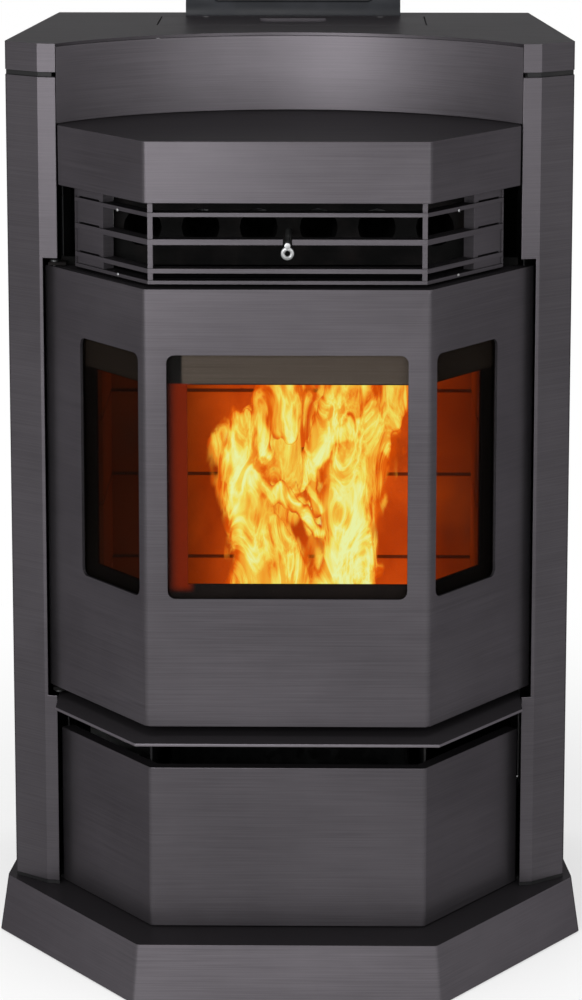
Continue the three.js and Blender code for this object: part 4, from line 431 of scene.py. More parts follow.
@made_once
def fired_brick(side):
    """Fired clay lining with painted firelight glowing near the fire, its clay painted dark
    as shade, with soot patches and joints.
    """
    paint = Finish(f"firebrick_{side}")
    looks = sizes()
    grit = paint.cloud(420, detail=4.0, roughness=0.65)
    patch = paint.cloud(9, (1, 1, 0.7), 5.0, distortion=0.5)
    soot = paint.cloud(17, (1, 1, 0.45), 5.0).ramp(0.5, 0.78)
    above = paint.axis("Z") - looks.first_joint
    joint = abs(above.wrapped(looks.course) / looks.course - 0.5).ramp(0.472, 0.486)
    if side == "back":
        off_fire = abs(paint.axis("X") - looks.fire_middle)
        near = (1 - off_fire.ramp(0.07, 0.2)) * 0.94 + 0.06
    else:
        near = paint.axis("Y").ramp(-0.16, 0.06) * 0.75 + 0.25
        joint = joint * 0.6
    # The clay is painted darker than it is, as shade inside the firebox.
    clay = paint.blend(patch, (0.06, 0.014, 0.003), (0.11, 0.03, 0.006))
    clay = paint.blend(soot * 0.75, clay, (0.05, 0.03, 0.022))
    lit = paint.blend(patch.ramp(0.25, 0.75), (0.30, 0.024, 0.0012), (0.62, 0.075, 0.004))
    # The fire's light is painted on as glow, strongest near the fire.
    firelight = near * (1 - soot * 0.55) * (1 - joint * 0.8) * (0.82 + 0.36 * grit)
    return paint.shown(paint.surface(
        Base_Color=paint.blend(joint, clay, (0.03, 0.018, 0.013)),
        Roughness=0.88,
        Specular_IOR_Level=0.0,
        Emission_Color=paint.blend(firelight, (0, 0, 0), lit),
        Emission_Strength=getattr(looks, f"{side}_firelight"),
        Normal=paint.bumps(grit + patch * 0.5, 0.5, 0.0006),
    ))


@made_once
def flame_light():
    """Burning gas: deep orange and thin at its edges, pale yellow at its heart."""
    paint = Finish("flame")
    burn = paint.node("ShaderNodeAttribute", {"attribute_name": "burn"}, out="Fac")
    streak = paint.cloud(36, (1.0, 1.0, 0.34), 5.0, 0.55, 1.3)
    lick = paint.cloud(17, (1.0, 1.0, 0.4), 3.0, 0.5, 0.8)
    filament = (1 - abs(streak - 0.5) * 8).at_least(0)
    cooler = paint.axis("Z").ramp(0.48, 0.56)
    hot = burn * 0.56 + filament * 0.36 + (lick - 0.5) * 1.2 - 0.08 - cooler * 0.15
    burning = hot.colours(
        (0.0, (0.66, 0.075, 0.002)),
        (0.2, (0.82, 0.14, 0.006)),
        (0.36, (0.93, 0.32, 0.022)),
        (0.52, (0.95, 0.54, 0.055)),
        (0.68, (0.93, 0.8, 0.13)),
        (0.9, (0.88, 0.97, 0.42)),
    )
    return paint.shown(paint.surface(
        Base_Color=(0, 0, 0),
        Roughness=1.0,
        Specular_IOR_Level=0.0,
        Emission_Color=burning,
        Emission_Strength=sizes().flame_firelight,
        Alpha=(burn + (streak - 0.5) * 0.9).ramp(0.08, 0.42),
    ))


@made_once
def ember_glow():
    """Wood pellets: charred brown with a red glow in their cracks."""
    paint = Finish("burning_pellets")
    crack = paint.cloud(420, detail=4.0, roughness=0.7)
    hot = crack.ramp(0.45, 0.7)
    return paint.shown(paint.surface(
        Base_Color=paint.blend(crack, (0.02, 0.012, 0.008), (0.11, 0.06, 0.03)),
        Roughness=0.9,
        Emission_Color=paint.blend(hot, (0.05, 0.004, 0), (1.0, 0.22, 0.02)),
        Emission_Strength=1.1,
        Normal=paint.bumps(crack, 0.6, 0.0005),
    ))


SLOT_FINISHES = {
    "charcoal_paint": charcoal_paint,
    "black_sheet": black_sheet,
    "steel": bright_steel,
    "cast_iron": cast_iron,
    "gasket_fibre": gasket_fibre,
    "ceramic_glass": stove_glass,
    "black_plastic": lambda: plastic("black"),
    "grey_plastic": lambda: plastic("grey"),
    "aluminium": fan_aluminium,
}

# Nodes that look unlike the rest of their slot, each with its finish and what it is given.
OWN_FINISHES = {
    # The curved panel, plinth and ledge take lighter copies of the enamel: painted light.
    "curved_panel": (charcoal_paint, 1.75, 0.09),
    "plinth": (charcoal_paint, 1.35),
    "ledge": (charcoal_paint, 1.8),
    "glass_retainer": (retainer_steel,),
    # The side panes are darkened as painted shade.
    "glass_left": (stove_glass, True),
    "glass_right": (stove_glass, True),
    "brick_back": (fired_brick, "back"),
    "brick_left": (fired_brick, "left"),
    "brick_right": (fired_brick, "right"),
    "heat_exchanger": (cast_iron, True),
    "firebox": (cast_iron, True),
    "console_housing": (plastic, "slate"),
    "ash_pan": (bright_steel, 0.12),
    "door_hinge_pin_top": (bright_steel, 0.12),
    "door_hinge_pin_bottom": (bright_steel, 0.12),
    # The scraper rod's steel is darkened as painted shade, which dulls its highlights.
    "scraper_rod": (bright_steel, 0.7),
}


def finish_of(node):
    """The node's own finish, or else that of its slot."""
    if node in OWN_FINISHES:
        maker, *choices = OWN_FINISHES[node]
        return maker(*choices)
    return SLOT_FINISHES[SLOT_OF[node]]()


# ---------------------------------------------------------------- mesh tools

# The least and most degrees that a bent fold turns, and the least length of one. What
# turns more is a cut edge.
FOLD_TURNS = (30, 70)
SHORTEST_FOLD = 0.02


def placed(name, form):
    """An object in the scene for a mesh, a lamp or a camera."""
    thing = bpy.data.objects.new(name, form)
    bpy.context.scene.collection.objects.link(thing)
    return thing


def mesh_from(form, name):
    """What is under work becomes a mesh."""
    mesh = bpy.data.meshes.new(name)
    form.to_mesh(mesh)
    form.free()
    return mesh


def mounted(name, mesh, body, material):
    """A mesh becomes a piece that rides on a body. Flames and embers have no slot."""
    mesh.name = name
    mesh.materials.clear()
    mesh.materials.append(material)
    piece = placed(name, mesh)
    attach(piece, body)
    return piece


def rounded(sheet, edges, radius, steps):
    """Rounds the edges of a mesh under work."""
    bmesh.ops.bevel(
        sheet, geom=edges, offset=radius, offset_type="OFFSET", segments=steps,
        profile=0.5, affect="EDGES", clamp_overlap=True,
    )


def merged_copy(node):
    """The node's loose triangles as one closed mesh with whole faces."""
    same_place, same_plane = 0.000004, math.radians(0.4)
    sheet = bmesh.new()
    sheet.from_mesh(NODES[node].data)
    bmesh.ops.remove_doubles(sheet, verts=sheet.verts, dist=same_place)
    bmesh.ops.dissolve_limit(
        sheet, angle_limit=same_plane, verts=sheet.verts, edges=sheet.edges)
    return sheet


def turn_of(edge):
    """Degrees between an edge's two faces, 0 where they are in one plane."""
    return math.degrees(edge.calc_face_angle(0.0)) if len(edge.link_faces) == 2 else 0.0


def dressed(node, fold, edge, smooth=12.0):
    """Stands for a node: its folds and cut edges rounded to the given radii.

    A curve whose facets turn by less than the smooth degrees is shaded smooth.
    """
    sheet = merged_copy(node)
    least, most = FOLD_TURNS
    if fold:
        folds = [
            e for e in sheet.edges
            if least < turn_of(e) < most and e.calc_length() > SHORTEST_FOLD
        ]
        rounded(sheet, folds, fold, 4)
    if edge:
        rounded(sheet, [e for e in sheet.edges if turn_of(e) > most], edge, 2)
    bmesh.ops.triangulate(sheet, faces=[f for f in sheet.faces if len(f.verts) > 4])
    name = f"{node}_dressed"
    mesh = mesh_from(sheet, name)
    mesh.shade_smooth()
    mesh.set_sharp_from_angle(angle=math.radians(smooth))
    piece = mounted(name, mesh, BODY_OF[node], finish_of(node))
    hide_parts(node)


def finished(*nodes):
    """The node's own mesh stays and takes its finish."""
    for node in nodes:
        mesh = NODES[node].data
        mesh.materials.clear()
        mesh.materials.append(finish_of(node))


def grown(name, points, head, material, body, spin=0.0, seed=1):
    """The head repeated at every point, upright along its facing, as one mesh.

    Each is turned about its facing by chance, by up to the spin in radians.
    """
    places = bpy.data.meshes.new(f"{name}_places")
    places.from_pydata([p for p, _ in points], [], [])
    facing = places.attributes.new("facing", "FLOAT_VECTOR", "POINT")
    facing.data.foreach_set("vector", [c for _, f in points for c in f])
    carrier = placed(f"{name}_carrier", places)

    tree = bpy.data.node_groups.new(f"{name}_repeat", "GeometryNodeTree")
    sockets = {
        "Places": "Geometry", "Head": "Object", "Size": "Float", "Spin": "Float",
        "Seed": "Int", "Material": "Material",
    }
    for label, kind in sockets.items():
        tree.interface.new_socket(label, in_out="INPUT", socket_type=f"NodeSocket{kind}")
    tree.interface.new_socket("Pieces", in_out="OUTPUT", socket_type="NodeSocketGeometry")

    def node(kind, settings=None, links=None):
        made = tree.nodes.new(kind)
        for label, setting in (settings or {}).items():
            setattr(made, label, setting)
        for label, link in (links or {}).items():
            if isinstance(link, bpy.types.NodeSocket):
                tree.links.new(link, made.inputs[label])
            else:
                made.inputs[label].default_value = link
        return made

    given = node("NodeGroupInput").outputs
    shape = node("GeometryNodeObjectInfo", None, {"Object": given["Head"]})
    facing = node("GeometryNodeInputNamedAttribute", {"data_type": "FLOAT_VECTOR"}, {
        "Name": "facing"})
    upright = node("FunctionNodeAlignRotationToVector", {"axis": "Z"}, {
        "Vector": facing.outputs[0]})
    lowest = node("ShaderNodeMath", {"operation": "MULTIPLY"}, {0: given["Spin"], 1: -1.0})
    # A Random Value node's sockets for numbers are 2 and 3 going in and 1 coming out.
    turn = node("FunctionNodeRandomValue", {"data_type": "FLOAT"}, {
        2: lowest.outputs[0], 3: given["Spin"], "Seed": given["Seed"]})
    about = node("FunctionNodeAxisAngleToRotation", None, {"Angle": turn.outputs[1]})
    turned = node("FunctionNodeRotateRotation", {"rotation_space": "LOCAL"}, {
        "Rotation": upright.outputs[0], "Rotate By": about.outputs[0]})
    spread = node("GeometryNodeInstanceOnPoints", None, {
        "Points": given["Places"], "Instance": shape.outputs["Geometry"],
        "Rotation": turned.outputs[0], "Scale": given["Size"]})
    real = node("GeometryNodeRealizeInstances", None, {"Geometry": spread.outputs[0]})
    coated = node("GeometryNodeSetMaterial", None, {
        "Geometry": real.outputs[0], "Material": given["Material"]})
    result = node("NodeGroupOutput")
    tree.links.new(coated.outputs[0], result.inputs[0])

    repeat = carrier.modifiers.new("repeat", "NODES")
    repeat.node_group = tree
    chosen = {"Head": head, "Size": 1.0, "Spin": spin, "Seed": seed, "Material": material}
    for item in tree.interface.items_tree:
        if item.in_out == "INPUT" and item.name in chosen:
            repeat[item.identifier] = chosen[item.name]
    depsgraph = bpy.context.evaluated_depsgraph_get()
    mesh = bpy.data.meshes.new_from_object(carrier.evaluated_get(depsgraph))
    carrier.modifiers.clear()
    bpy.data.objects.remove(carrier)
    bpy.data.objects.remove(head)
    if not mesh.vertices:
        raise RuntimeError(f"{name}: nothing grew")
    mounted(name, mesh, body, material)


def turned_head(name, outline, sides, recess=0.0):
    """A loose object turned about Z from (radius, height) pairs, its top recessed."""
    form = bmesh.new()
    angles = [2 * math.pi * k / sides for k in range(sides)]
    rings = [
        [form.verts.new((radius * math.cos(a), radius * math.sin(a), z)) for a in angles]
        for radius, z in outline
    ]
    for low, high in zip(rings, rings[1:]):
        for k in range(sides):
            after = (k + 1) % sides
            form.faces.new((low[k], low[after], high[after], high[k]))
    form.faces.new(rings[0][::-1])
    top = form.faces.new(rings[-1])
    if recess:
        bmesh.ops.inset_region(form, faces=[top], thickness=recess)
        bmesh.ops.translate(form, verts=top.verts, vec=(0, 0, -recess))
    mesh = mesh_from(form, name)
    mesh.shade_smooth()
    mesh.set_sharp_from_angle(angle=math.radians(35))
    return placed(name, mesh)


def screw_head(name, radius):
    """A low domed head with a small recess, for screws and rivets."""
    outline = [(radius, 0.0), (radius, radius * 0.25), (radius * 0.8, radius * 0.5),
               (radius * 0.45, radius * 0.62)]
    return turned_head(name, outline, 16, radius * 0.2)


# ---------------------------------------------------------------- fire

# Each tongue of flame is a line of places: across, height and half width.
TONGUES = {
    "left_main": [
        (-0.030, 0.330, 0.0289), (-0.037, 0.391, 0.0227), (-0.041, 0.424, 0.0227),
        (-0.047, 0.457, 0.0258), (-0.050, 0.489, 0.0289), (-0.050, 0.511, 0.0227),
        (-0.046, 0.530, 0.0124), (-0.045, 0.543, 0.0041),
    ],
    "left_wisp": [
        (-0.024, 0.500, 0.0072), (-0.030, 0.527, 0.0083), (-0.030, 0.548, 0.0083),
        (-0.026, 0.570, 0.0062),
    ],
    "top_pale": [
        (-0.001, 0.519, 0.0062), (-0.003, 0.541, 0.0186), (-0.005, 0.559, 0.0227),
        (-0.007, 0.581, 0.0207),
    ],
    "right_main": [
        (0.050, 0.330, 0.0331), (0.058, 0.381, 0.0289), (0.061, 0.413, 0.0269),
        (0.059, 0.446, 0.0289), (0.065, 0.478, 0.0310), (0.078, 0.506, 0.0289),
        (0.092, 0.532, 0.0248), (0.104, 0.556, 0.0186), (0.115, 0.581, 0.0124),
    ],
    "right_band": [
        (0.013, 0.473, 0.0062), (0.026, 0.498, 0.0093), (0.050, 0.517, 0.0124),
        (0.081, 0.538, 0.0124), (0.107, 0.559, 0.0103),
    ],
    "right_upper": [
        (0.024, 0.505, 0.0083), (0.040, 0.532, 0.0165), (0.058, 0.560, 0.0227),
        (0.076, 0.592, 0.0269),
    ],
    "curl": [
        (0.033, 0.440, 0.0072), (0.024, 0.468, 0.0062), (0.025, 0.489, 0.0062),
        (0.037, 0.502, 0.0083),
    ],
    "bridge": [
        (-0.061, 0.454, 0.0083), (-0.030, 0.457, 0.0103), (-0.005, 0.449, 0.0103),
        (0.015, 0.435, 0.0093), (0.029, 0.413, 0.0083),
    ],
    "low_middle": [
        (0.001, 0.330, 0.0248), (0.001, 0.370, 0.0186), (-0.007, 0.394, 0.0145),
        (-0.020, 0.419, 0.0103),
    ],
    "right_edge": [(0.080, 0.348, 0.0103), (0.084, 0.381, 0.0072), (0.080, 0.408, 0.0062)],
    "right_outer": [
        (0.098, 0.498, 0.0062), (0.112, 0.527, 0.0083), (0.119, 0.554, 0.0062),
        (0.121, 0.570, 0.0041),
    ],
}

# Thin gas between the tongues, on the rear sheet only.
VEIL = [(-0.004, 0.428, 0.020), (-0.002, 0.470, 0.030), (-0.004, 0.530, 0.026)]

# What the flame sheets span across and in height.
FIRE_ACROSS = (-0.13, 0.145)
FIRE_HEIGHT = (0.322, 0.605)

# The sheets end where the heat falls to this.
LEAST_HEAT = 0.02

# Waves for each metre across and up, of the gas's slow sway, its flutter and its streaks.
SWAY = (34, 17)
FLUTTER = (105, 46)
STREAKS = (120, 42)

# How far sway and flutter carry the gas across, up and in depth.
SWAY_REACH = (0.007, 0.012, 0.016)
FLUTTER_REACH = (0.006, 0.012, 0.0)

# The share of this that is felt at the pot. It grows above a steady height, and so much
# further up it is full.
LEAST_WAVERING = 0.1
STEADY_HEIGHT = 0.34
WAVERS_AFTER = 0.12

# How much hotter a streak is than the gas about it.
STREAK_HEAT = 0.34

# How fast the flames spread as they leave the pot, and how soft their sides are there.
ROOT_SPREAD = 1.8
ROOT_EDGE = 0.008

# The sheets bow to the rear on both sides of this place along X.
BOW_MIDDLE = 0.02
BOW = 0.8


def heat_near(line, x, z, spread, heat):
    """The heat with one tongue added: 1 on its line, 0 outside its width."""
    for (x0, z0, w0), (x1, z1, w1) in zip(line, line[1:]):
        run, climb = x1 - x0, z1 - z0
        along = ((x - x0) * run + (z - z0) * climb) / (run ** 2 + climb ** 2)
        along = np.clip(along, 0, 1)
        off = np.hypot(x - x0 - along * run, z - z0 - along * climb)
        width = (w0 + along * (w1 - w0)) * spread
        heat = np.maximum(heat, 1 - (off / width) ** 2)
    return heat


def heat_at(x, z, spread):
    """How deep each place lies in its nearest tongue: 1 on its line, 0 outside."""
    heat = np.zeros_like(x)
    for line in TONGUES.values():
        heat = heat_near(line, x, z, spread, heat)
    return heat


def wavering(kind, xs, zs, waves, start):
    """Smooth random numbers from -1 to 1 for every place of a sheet."""
    across, up = waves
    return np.array([
        [kind(Vector((x * across, z * up, start))) for x in xs] for z in zs
    ])


def burning_mesh(name, x, y, z, heat):
    """The places of a sheet as a mesh, without those that have no heat."""
    sheet = bmesh.new()
    layer = sheet.verts.layers.float.new("burn")
    made = {}

    def corner(i, j):
        if (i, j) not in made:
            made[i, j] = sheet.verts.new((x[i, j], y[i, j], z[i, j]))
            made[i, j][layer] = float(heat[i, j])
        return made[i, j]

    rows, columns = heat.shape
    for i in range(rows - 1):
        for j in range(columns - 1):
            if heat[i:i + 2, j:j + 2].max() > LEAST_HEAT:
                sheet.faces.new((
                    corner(i, j), corner(i, j + 1), corner(i + 1, j + 1), corner(i + 1, j)))
    mesh = mesh_from(sheet, name)
    mesh.shade_smooth()
    return mesh


def flame_sheet(name, depth, spread, strength, start, veil=False):
    """One wavering sheet of burning gas, cut to where there is heat."""
    looks = sizes()
    noise.seed_set(looks.flicker)
    xs = np.arange(*FIRE_ACROSS, looks.flame_step)
    zs = np.arange(*FIRE_HEIGHT, looks.flame_step)
    sway = wavering(noise.noise_vector, xs, zs, SWAY, start)
    flutter = wavering(noise.noise_vector, xs, zs, FLUTTER, start + 9)
    streaks = wavering(noise.noise, xs, zs, STREAKS, start + 5)
    x, z = np.meshgrid(xs, zs)
    share = np.clip((z - STEADY_HEIGHT) / WAVERS_AFTER, LEAST_WAVERING, 1)
    carried = sway * SWAY_REACH + flutter * FLUTTER_REACH
    x_from, z_from = x + carried[..., 0] * share, z + carried[..., 1] * share
    heat = heat_at(x_from, z_from, spread)
    heat = heat * strength + streaks * STREAK_HEAT * (heat > 0)
    inside_root = looks.root + (z - zs[0]) * ROOT_SPREAD - np.abs(x)
    heat = heat * np.clip(inside_root / ROOT_EDGE, 0, 1)
    if veil:
        heat = heat_near(VEIL, x_from, z_from, 1.0, heat * 2) / 2
    heat = np.clip(heat, 0, 1)
    y = depth + carried[..., 2] + (x - BOW_MIDDLE) ** 2 * BOW
    mounted(name, burning_mesh(name, x, y, z, heat), "pot", flame_light())


def pellet_bed(name, middle, reach, count, seed):
    """Places and directions of pellets tipped into a bed, and the pellet to repeat."""
    random = np.random.default_rng(seed)
    spots = random.uniform(-1, 1, (count, 3))
    places = []
    for spot in spots:
        lean = random.uniform(-1, 1, 3)
        facing = Vector((lean[0], lean[1], lean[2] * 0.45)).normalized()
        at = tuple(m + share * r for m, share, r in zip(middle, spot, reach))
        places.append((at, tuple(facing)))
    radius, half_length = 0.003, 0.008
    outline = [(radius, -half_length), (radius, half_length)]
    return places, turned_head(f"{name}_pellet", outline, 10)


def along_edge(start, end, count):
    """That many even places from the start to the end."""
    shares = [k / (count - 1) for k in range(count)]
    return [tuple(Vector(start).lerp(Vector(end), share)) for share in shares]


# ---------------------------------------------------------------- settings


def length(name, default, description):
    """A setting in metres, shown to a tenth of a millimetre."""
    return FloatProperty(
        name=name, default=default, description=description, unit="LENGTH", precision=4)


class StoveLooks(bpy.types.PropertyGroup):
    """Colours and sizes of the stove's finishes, edges, fixings and fire."""

    charcoal: FloatVectorProperty(
        name="Enamel", subtype="COLOR", size=3, default=(0.063, 0.058, 0.064),
        description="Colour of the outer enamel")
    brushing: FloatProperty(
        name="Brushing", default=0.24, min=0.0, max=1.0,
        description="How deep the enamel's level grain is")
    fold: length("Fold radius", 0.003, "Rounding of the bent folds of sheet metal")
    edge: length("Edge radius", 0.0006, "Rounding of cut edges")
    band_height: length("Air band", 0.618, "Height at which the panes' pale band starts")
    # The band's dark strip is painted shadow.
    shadow_strip_place: length("Dark strip", -0.1145, "Where along X that band is dark")
    first_joint: length("First joint", 0.372, "Height of the lining's lowest joint")
    course: length("Course", 0.091, "Height of one course of the lining")
    fire_middle: length("Fire middle", 0.05, "Where across the stove it is brightest")
    # The linings' glows are painted firelight.
    back_firelight: FloatProperty(
        name="Back firelight", default=1.2, min=0.0, description="Glow of the rear lining")
    left_firelight: FloatProperty(
        name="Left firelight", default=0.12, min=0.0, description="Glow of the left lining")
    right_firelight: FloatProperty(
        name="Right firelight", default=0.66, min=0.0, description="Glow of the right lining")
    flame_firelight: FloatProperty(
        name="Flames", default=1.0, min=0.0, description="Strength of the flames' light")
    root: length("Flame root", 0.040, "Half width of the flames as they leave the pot")
    flame_step: length("Flame grain", 0.0016, "Size of one cell of the flame sheets")
    flicker: IntProperty(
        name="Flicker", default=12, min=1,
        description="Start of the flames' random wavering")
    screw: length("Screw head", 0.0042, "Radius of the rear panel's screw heads")
    rivet: length("Rivet head", 0.0016, "Radius of the grille's rivets")
    grille_bend: length("Grille bend", 0.1364, "From the middle to the grille's bends")
    grille_front: length("Grille front", -0.243, "Place of the grille's front along Y")
    rivet_along: length("Rivet place", 0.054, "From the grille's bends to the rivets")
    screw_inset: length("Screw line", 0.2465, "From the middle to the rows of screws")
    seed: IntProperty(name="Seed", default=7, description="Start of every random choice")


class StoveStage(bpy.types.PropertyGroup):
    """Camera and light of the studio."""

    lens: FloatProperty(
        name="Lens", default=122.02, unit="CAMERA",
        description="Focal length of the camera")
    stand: FloatVectorProperty(
        name="Camera place", size=3, default=(0.0451, -3.5002, 1.2681), unit="LENGTH",
        description="Where the camera stands")
    aim: FloatVectorProperty(
        name="Camera turn", size=3, subtype="EULER", description="How the camera is turned",
        default=(math.radians(80.14), 0.0, math.radians(0.733)))
    shift: FloatProperty(
        name="Shift", default=-0.2, description="Vertical shift of the lens")
    key: FloatProperty(
        name="Key lamp", default=52.0, unit="POWER",
        description="Power of the left softbox")
    fill: FloatProperty(
        name="Fill lamp", default=15.0, unit="POWER",
        description="Power of the right softbox")
    top: FloatProperty(
        name="Top lamp", default=30.0, unit="POWER",
        description="Power of the overhead lamp")
    room: FloatProperty(
        name="Room", default=0.62, description="Level of the room's own soft light")
    floor: FloatVectorProperty(
        name="Floor", subtype="COLOR", size=3, default=(0.9, 0.9, 0.9),
        description="Colour of the floor")


# ---------------------------------------------------------------- the pieces

BUTTONS = (1, 2, 3, 4)
FEET = (1, 2, 3, 4)

# The way along the grille's right side face in plan, from its bend to the rear.
GRILLE_SIDE = (0.584, 0.812)
RIVET_HEIGHTS = (0.7841, 0.7196)

# The middle of the bed of burning pellets, how far it reaches each way and its pellets.
BED_MIDDLE = (0, -0.005, 0.318)
BED_REACH = (0.028, 0.028, 0.007)
BED_PELLETS = 170

# The rear panel's rows of screws. Up each side: lowest, highest and their number.
# Along the top: half the row's length, its height and their number.
SIDE_SCREWS = (0.09, 0.87, 7)
TOP_SCREWS = (0.18, 0.896, 4)


class STOVE_OT_casing(bpy.types.Operator):
    """Dresses the plinth, side panels, top, curved panel, ledge and feet"""

    bl_idname = "stove.casing"
    bl_label = "Casing"

    def execute(self, context):
        looks = sizes()
        for node in (
            "plinth", "side_panel_left", "side_panel_right", "top_plate", "ledge",
        ):
            dressed(node, looks.fold, looks.edge)
        dressed("curved_panel", 0.0, looks.edge, smooth=20.0)
        finished("base_pan", "chassis", "top_spacer")
        for number in FEET:
            dressed(f"levelling_foot_{number}", 0.0, looks.edge, smooth=30.0)
        return {"FINISHED"}


class STOVE_OT_grille(bpy.types.Operator):
    """Dresses the hood, the air grille, its rivets and the scraper rod"""

    bl_idname = "stove.grille"
    bl_label = "Hood and grille"

    def execute(self, context):
        looks = sizes()
        dressed("hood", looks.fold, looks.edge)
        dressed("air_grille", 0.0, looks.edge * 0.6)
        dressed("scraper_rod", 0.0, looks.edge * 0.5, smooth=30.0)
        out, back = GRILLE_SIDE
        x = looks.grille_bend + looks.rivet_along * out
        y = looks.grille_front + looks.rivet_along * back
        places = [
            ((way * x, y, z), (way * back, -out, 0.0))
            for way in (-1, 1) for z in RIVET_HEIGHTS
        ]
        rivet = screw_head("grille_rivet", looks.rivet)
        grown("grille_rivets", places, rivet, bright_steel(), "casing",
              seed=looks.seed)
        return {"FINISHED"}


class STOVE_OT_door(bpy.types.Operator):
    """Dresses the fire door with its panes, retainer and gasket"""

    bl_idname = "stove.door"
    bl_label = "Fire door"

    def execute(self, context):
        looks = sizes()
        dressed("fire_door", looks.fold, looks.edge)
        dressed("glass_retainer", 0.0, looks.edge * 0.6)
        finished("glass_centre", "glass_left", "glass_right", "door_gasket")
        return {"FINISHED"}


class STOVE_OT_drawer(bpy.types.Operator):
    """Dresses the ash drawer's front and pan"""

    bl_idname = "stove.drawer"
    bl_label = "Ash drawer"

    def execute(self, context):
        looks = sizes()
        dressed("ash_drawer_front", looks.fold, looks.edge)
        dressed("ash_pan", 0.0, looks.edge)
        return {"FINISHED"}


class STOVE_OT_top(bpy.types.Operator):
    """Dresses the hopper lid, console, keypad and buttons"""

    bl_idname = "stove.top"
    bl_label = "Lid and console"

    def execute(self, context):
        looks = sizes()
        dressed("hopper_lid", 0.0, looks.edge)
        dressed("console_housing", 0.0, looks.edge, smooth=25.0)
        dressed("keypad", 0.0, looks.edge * 0.6, smooth=25.0)
        for number in BUTTONS:
            dressed(f"button_{number}", 0.0, looks.edge * 0.6, smooth=25.0)
        finished("lid_seal", "lid_hinge_pin")
        return {"FINISHED"}


class STOVE_OT_inside(bpy.types.Operator):
    """Gives the firebox, feed, fans and ducts their finishes"""

    bl_idname = "stove.inside"
    bl_label = "Inside"

    def execute(self, context):
        finished(
            "firebox", "baffle", "heat_exchanger", "burn_pot_holder", "burn_pot",
            "brick_back", "brick_left", "brick_right", "igniter", "hopper", "auger_tube",
            "auger", "auger_motor", "convection_housing", "convection_motor",
            "convection_wheel", "exhaust_housing", "exhaust_motor", "exhaust_wheel",
            "exhaust_duct", "door_hinge_pin_top", "door_hinge_pin_bottom", "door_catch",
        )
        return {"FINISHED"}


class STOVE_OT_fire(bpy.types.Operator):
    """Lights the fire: two sheets of flame over a bed of burning pellets"""

    bl_idname = "stove.fire"
    bl_label = "Fire"

    def execute(self, context):
        seed = sizes().seed
        flame_sheet("flames_behind", depth=0.006, spread=1.5, strength=0.66,
                    start=3.0 + seed, veil=True)
        flame_sheet("flames_ahead", depth=-0.012, spread=1.1, strength=1.15,
                    start=40.0 + seed)
        bed, pellet = pellet_bed("embers", BED_MIDDLE, BED_REACH, BED_PELLETS, seed)
        grown("embers", bed, pellet, ember_glow(), "pot", spin=0.6, seed=seed)
        return {"FINISHED"}


def seam_tape(name, way):
    """Foam tape over the seam of rear and side panel, so that no light passes."""
    thick, soft, gap = 0.0016, 0.0003, 0.0001
    lap, reach, short = 0.007, 0.0009, 0.001
    low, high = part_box("rear_panel")
    edge = high[0]
    near, far = sorted((way * (edge - lap), way * (edge + reach)))
    tape = bmesh.new()
    bmesh.ops.create_cube(tape, size=1.0)
    for vert in tape.verts:
        vert.co.x = near if vert.co.x < 0 else far
        vert.co.y = low[1] - gap - (thick if vert.co.y < 0 else 0.0)
        vert.co.z = low[2] + short if vert.co.z < 0 else high[2] - short
    rounded(tape, list(tape.edges), soft, 2)
    mounted(name, mesh_from(tape, name), "casing", plastic("black"))


class STOVE_OT_rear(bpy.types.Operator):
    """Dresses the rear panel with its screws, pipes and power inlet"""

    bl_idname = "stove.rear"
    bl_label = "Rear"

    def execute(self, context):
        looks = sizes()
        dressed("rear_panel", 0.0, looks.edge)
        dressed("exhaust_pipe", 0.0, looks.edge, smooth=30.0)
        dressed("intake_pipe", 0.0, looks.edge, smooth=30.0)
        dressed("power_inlet", 0.0, looks.edge * 0.5, smooth=30.0)
        for name, way in (("left", -1), ("right", 1)):
            seam_tape(f"rear_seam_tape_{name}", way)
        lowest, highest, count = SIDE_SCREWS
        rows = [
            ((x, lowest), (x, highest), count)
            for x in (-looks.screw_inset, looks.screw_inset)
        ]
        half, height, count = TOP_SCREWS
        rows.append(((-half, height), (half, height), count))
        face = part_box("rear_panel")[1][1]
        places = [((x, face, z), (0, 1, 0)) for row in rows for x, z in along_edge(*row)]
        screw = screw_head("rear_screw", looks.screw)
        grown("rear_screws", places, screw, bright_steel(), "casing", spin=3.0,
              seed=looks.seed)
        return {"FINISHED"}


# ---------------------------------------------------------------- the studio

FLOOR_HALF = 40.0
LAMP_DISTANCE = 2.6
LAMP_AIM = (0.0, -0.1, 0.55)

# Width and height of each softbox, and its azimuth and elevation in degrees.
SOFTBOXES = {
    "key": ((1.6, 1.2), -20, 11),
    "fill": ((1.0, 1.2), 27, 11),
    "top": ((2.6, 2.6), 0, 88),
}


def seen_white(bench):
    """1 for what the camera, a gloss or a glass shows, and 0 for what gives light."""
    rays = [
        bench.node("ShaderNodeLightPath", out=ray)
        for ray in ("Is Camera Ray", "Is Glossy Ray", "Is Transmission Ray")
    ]
    return rays[0].at_least(rays[1]).at_least(rays[2])


def surroundings(stage):
    """White to the camera and to reflections, soft pale light to everything else."""
    room = Bench(bpy.data.worlds.new("studio_room"), "ShaderNodeOutputWorld")
    level = room.node("ShaderNodeMapRange", None, {
        "Value": seen_white(room), "To Min": stage.room, "To Max": 1.0})
    light = room.node("ShaderNodeBackground", None, {
        "Color": (1, 1, 1), "Strength": level})
    bpy.context.scene.world = room.shown(light)


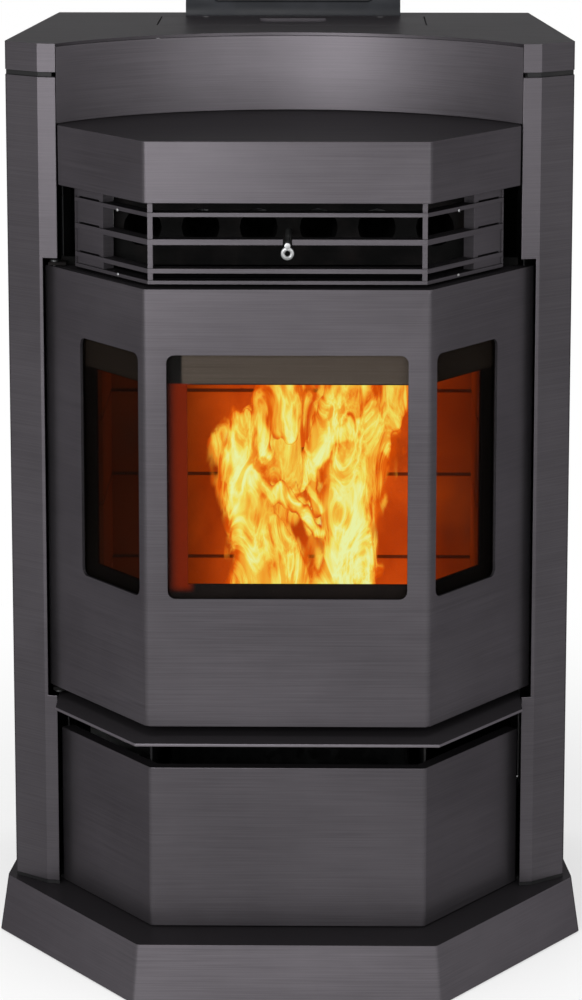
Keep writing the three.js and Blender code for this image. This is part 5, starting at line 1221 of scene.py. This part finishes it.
def studio_floor(stage):
    """A pale floor that keeps the soft shadow and fades into white."""
    paint = Finish("studio_floor")
    grain = paint.cloud(3, detail=3.0)
    tone = tuple(stage.floor)
    shade = paint.blend(grain, scaled(tone, 0.99), tone)
    matt = paint.surface(Base_Color=shade, Roughness=0.8, Specular_IOR_Level=0.1)
    white = paint.node("ShaderNodeEmission", None, {"Color": (1, 1, 1), "Strength": 1.0})
    far = (paint.axis("X") ** 2 + paint.axis("Y") ** 2) ** 0.5
    share = seen_white(paint) * (0.5 + 0.5 * far.ramp(0.45, 1.3))
    floor_mix = paint.node("ShaderNodeMixShader", None, {0: share, 1: matt, 2: white})
    mesh = bpy.data.meshes.new("studio_floor")
    ways = ((-1, -1), (1, -1), (1, 1), (-1, 1))
    corners = [(x * FLOOR_HALF, y * FLOOR_HALF, 0) for x, y in ways]
    mesh.from_pydata(corners, [], [(0, 1, 2, 3)])
    mesh.materials.append(paint.shown(floor_mix))
    floor = placed("studio_floor", mesh)


def softbox(name, power, size, azimuth, elevation):
    """A rectangular area lamp that faces the stove."""
    lamp = bpy.data.lights.new(name, "AREA")
    lamp.shape = "RECTANGLE"
    lamp.size, lamp.size_y = size
    lamp.energy = power
    level = math.cos(elevation)
    way = Vector((
        math.sin(azimuth) * level, -math.cos(azimuth) * level, math.sin(elevation)))
    box = placed(name, lamp)
    box.location = Vector(LAMP_AIM) + way * LAMP_DISTANCE
    box.rotation_euler = way.to_track_quat("Z", "Y").to_euler()


class STOVE_OT_stage(bpy.types.Operator):
    """Sets up the floor, the light and the camera"""

    bl_idname = "stove.stage"
    bl_label = "Stage"

    def execute(self, context):
        stage = context.scene.stove_stage
        surroundings(stage)
        studio_floor(stage)
        for name, (size, azimuth, elevation) in SOFTBOXES.items():
            softbox(f"{name}_softbox", getattr(stage, name), size,
                    math.radians(azimuth), math.radians(elevation))
        camera = bpy.data.cameras.new("photo_camera")
        camera.sensor_width = 36.0
        camera.sensor_fit = "AUTO"
        camera.lens = stage.lens
        camera.shift_y = stage.shift
        camera.clip_end = 200.0
        stand = placed("photo_camera", camera)
        stand.location = stage.stand
        stand.rotation_euler = stage.aim
        context.scene.camera = stand
        context.scene.view_settings.view_transform = "Standard"
        return {"FINISHED"}


class STOVE_PT_panel(bpy.types.Panel):
    """Lists the stove's pieces and its stage"""

    bl_idname = "STOVE_PT_panel"
    bl_label = "Stove"
    bl_space_type = "VIEW_3D"
    bl_region_type = "UI"
    bl_category = "Stove"

    def draw(self, context):
        for settings in (context.scene.stove_looks, context.scene.stove_stage):
            for name in settings.__annotations__:
                self.layout.prop(settings, name)
        for step in STEPS:
            self.layout.operator(step.bl_idname)


STEPS = (
    STOVE_OT_casing, STOVE_OT_grille, STOVE_OT_door, STOVE_OT_drawer, STOVE_OT_top,
    STOVE_OT_inside, STOVE_OT_fire, STOVE_OT_rear, STOVE_OT_stage,
)
CLASSES = (StoveLooks, StoveStage, *STEPS, STOVE_PT_panel)


def register():
    for kind in CLASSES:
        bpy.utils.register_class(kind)
    bpy.types.Scene.stove_looks = PointerProperty(type=StoveLooks)
    bpy.types.Scene.stove_stage = PointerProperty(type=StoveStage)


def unregister():
    del bpy.types.Scene.stove_stage
    del bpy.types.Scene.stove_looks
    for kind in reversed(CLASSES):
        bpy.utils.unregister_class(kind)


def main():
    register()
    for step in STEPS:
        group, name = step.bl_idname.split(".")
        if getattr(getattr(bpy.ops, group), name)() != {"FINISHED"}:
            raise RuntimeError(f"{step.bl_label} wasn't finished")
    bpy.context.view_layer.update()


if __name__ == "__main__":
    main()
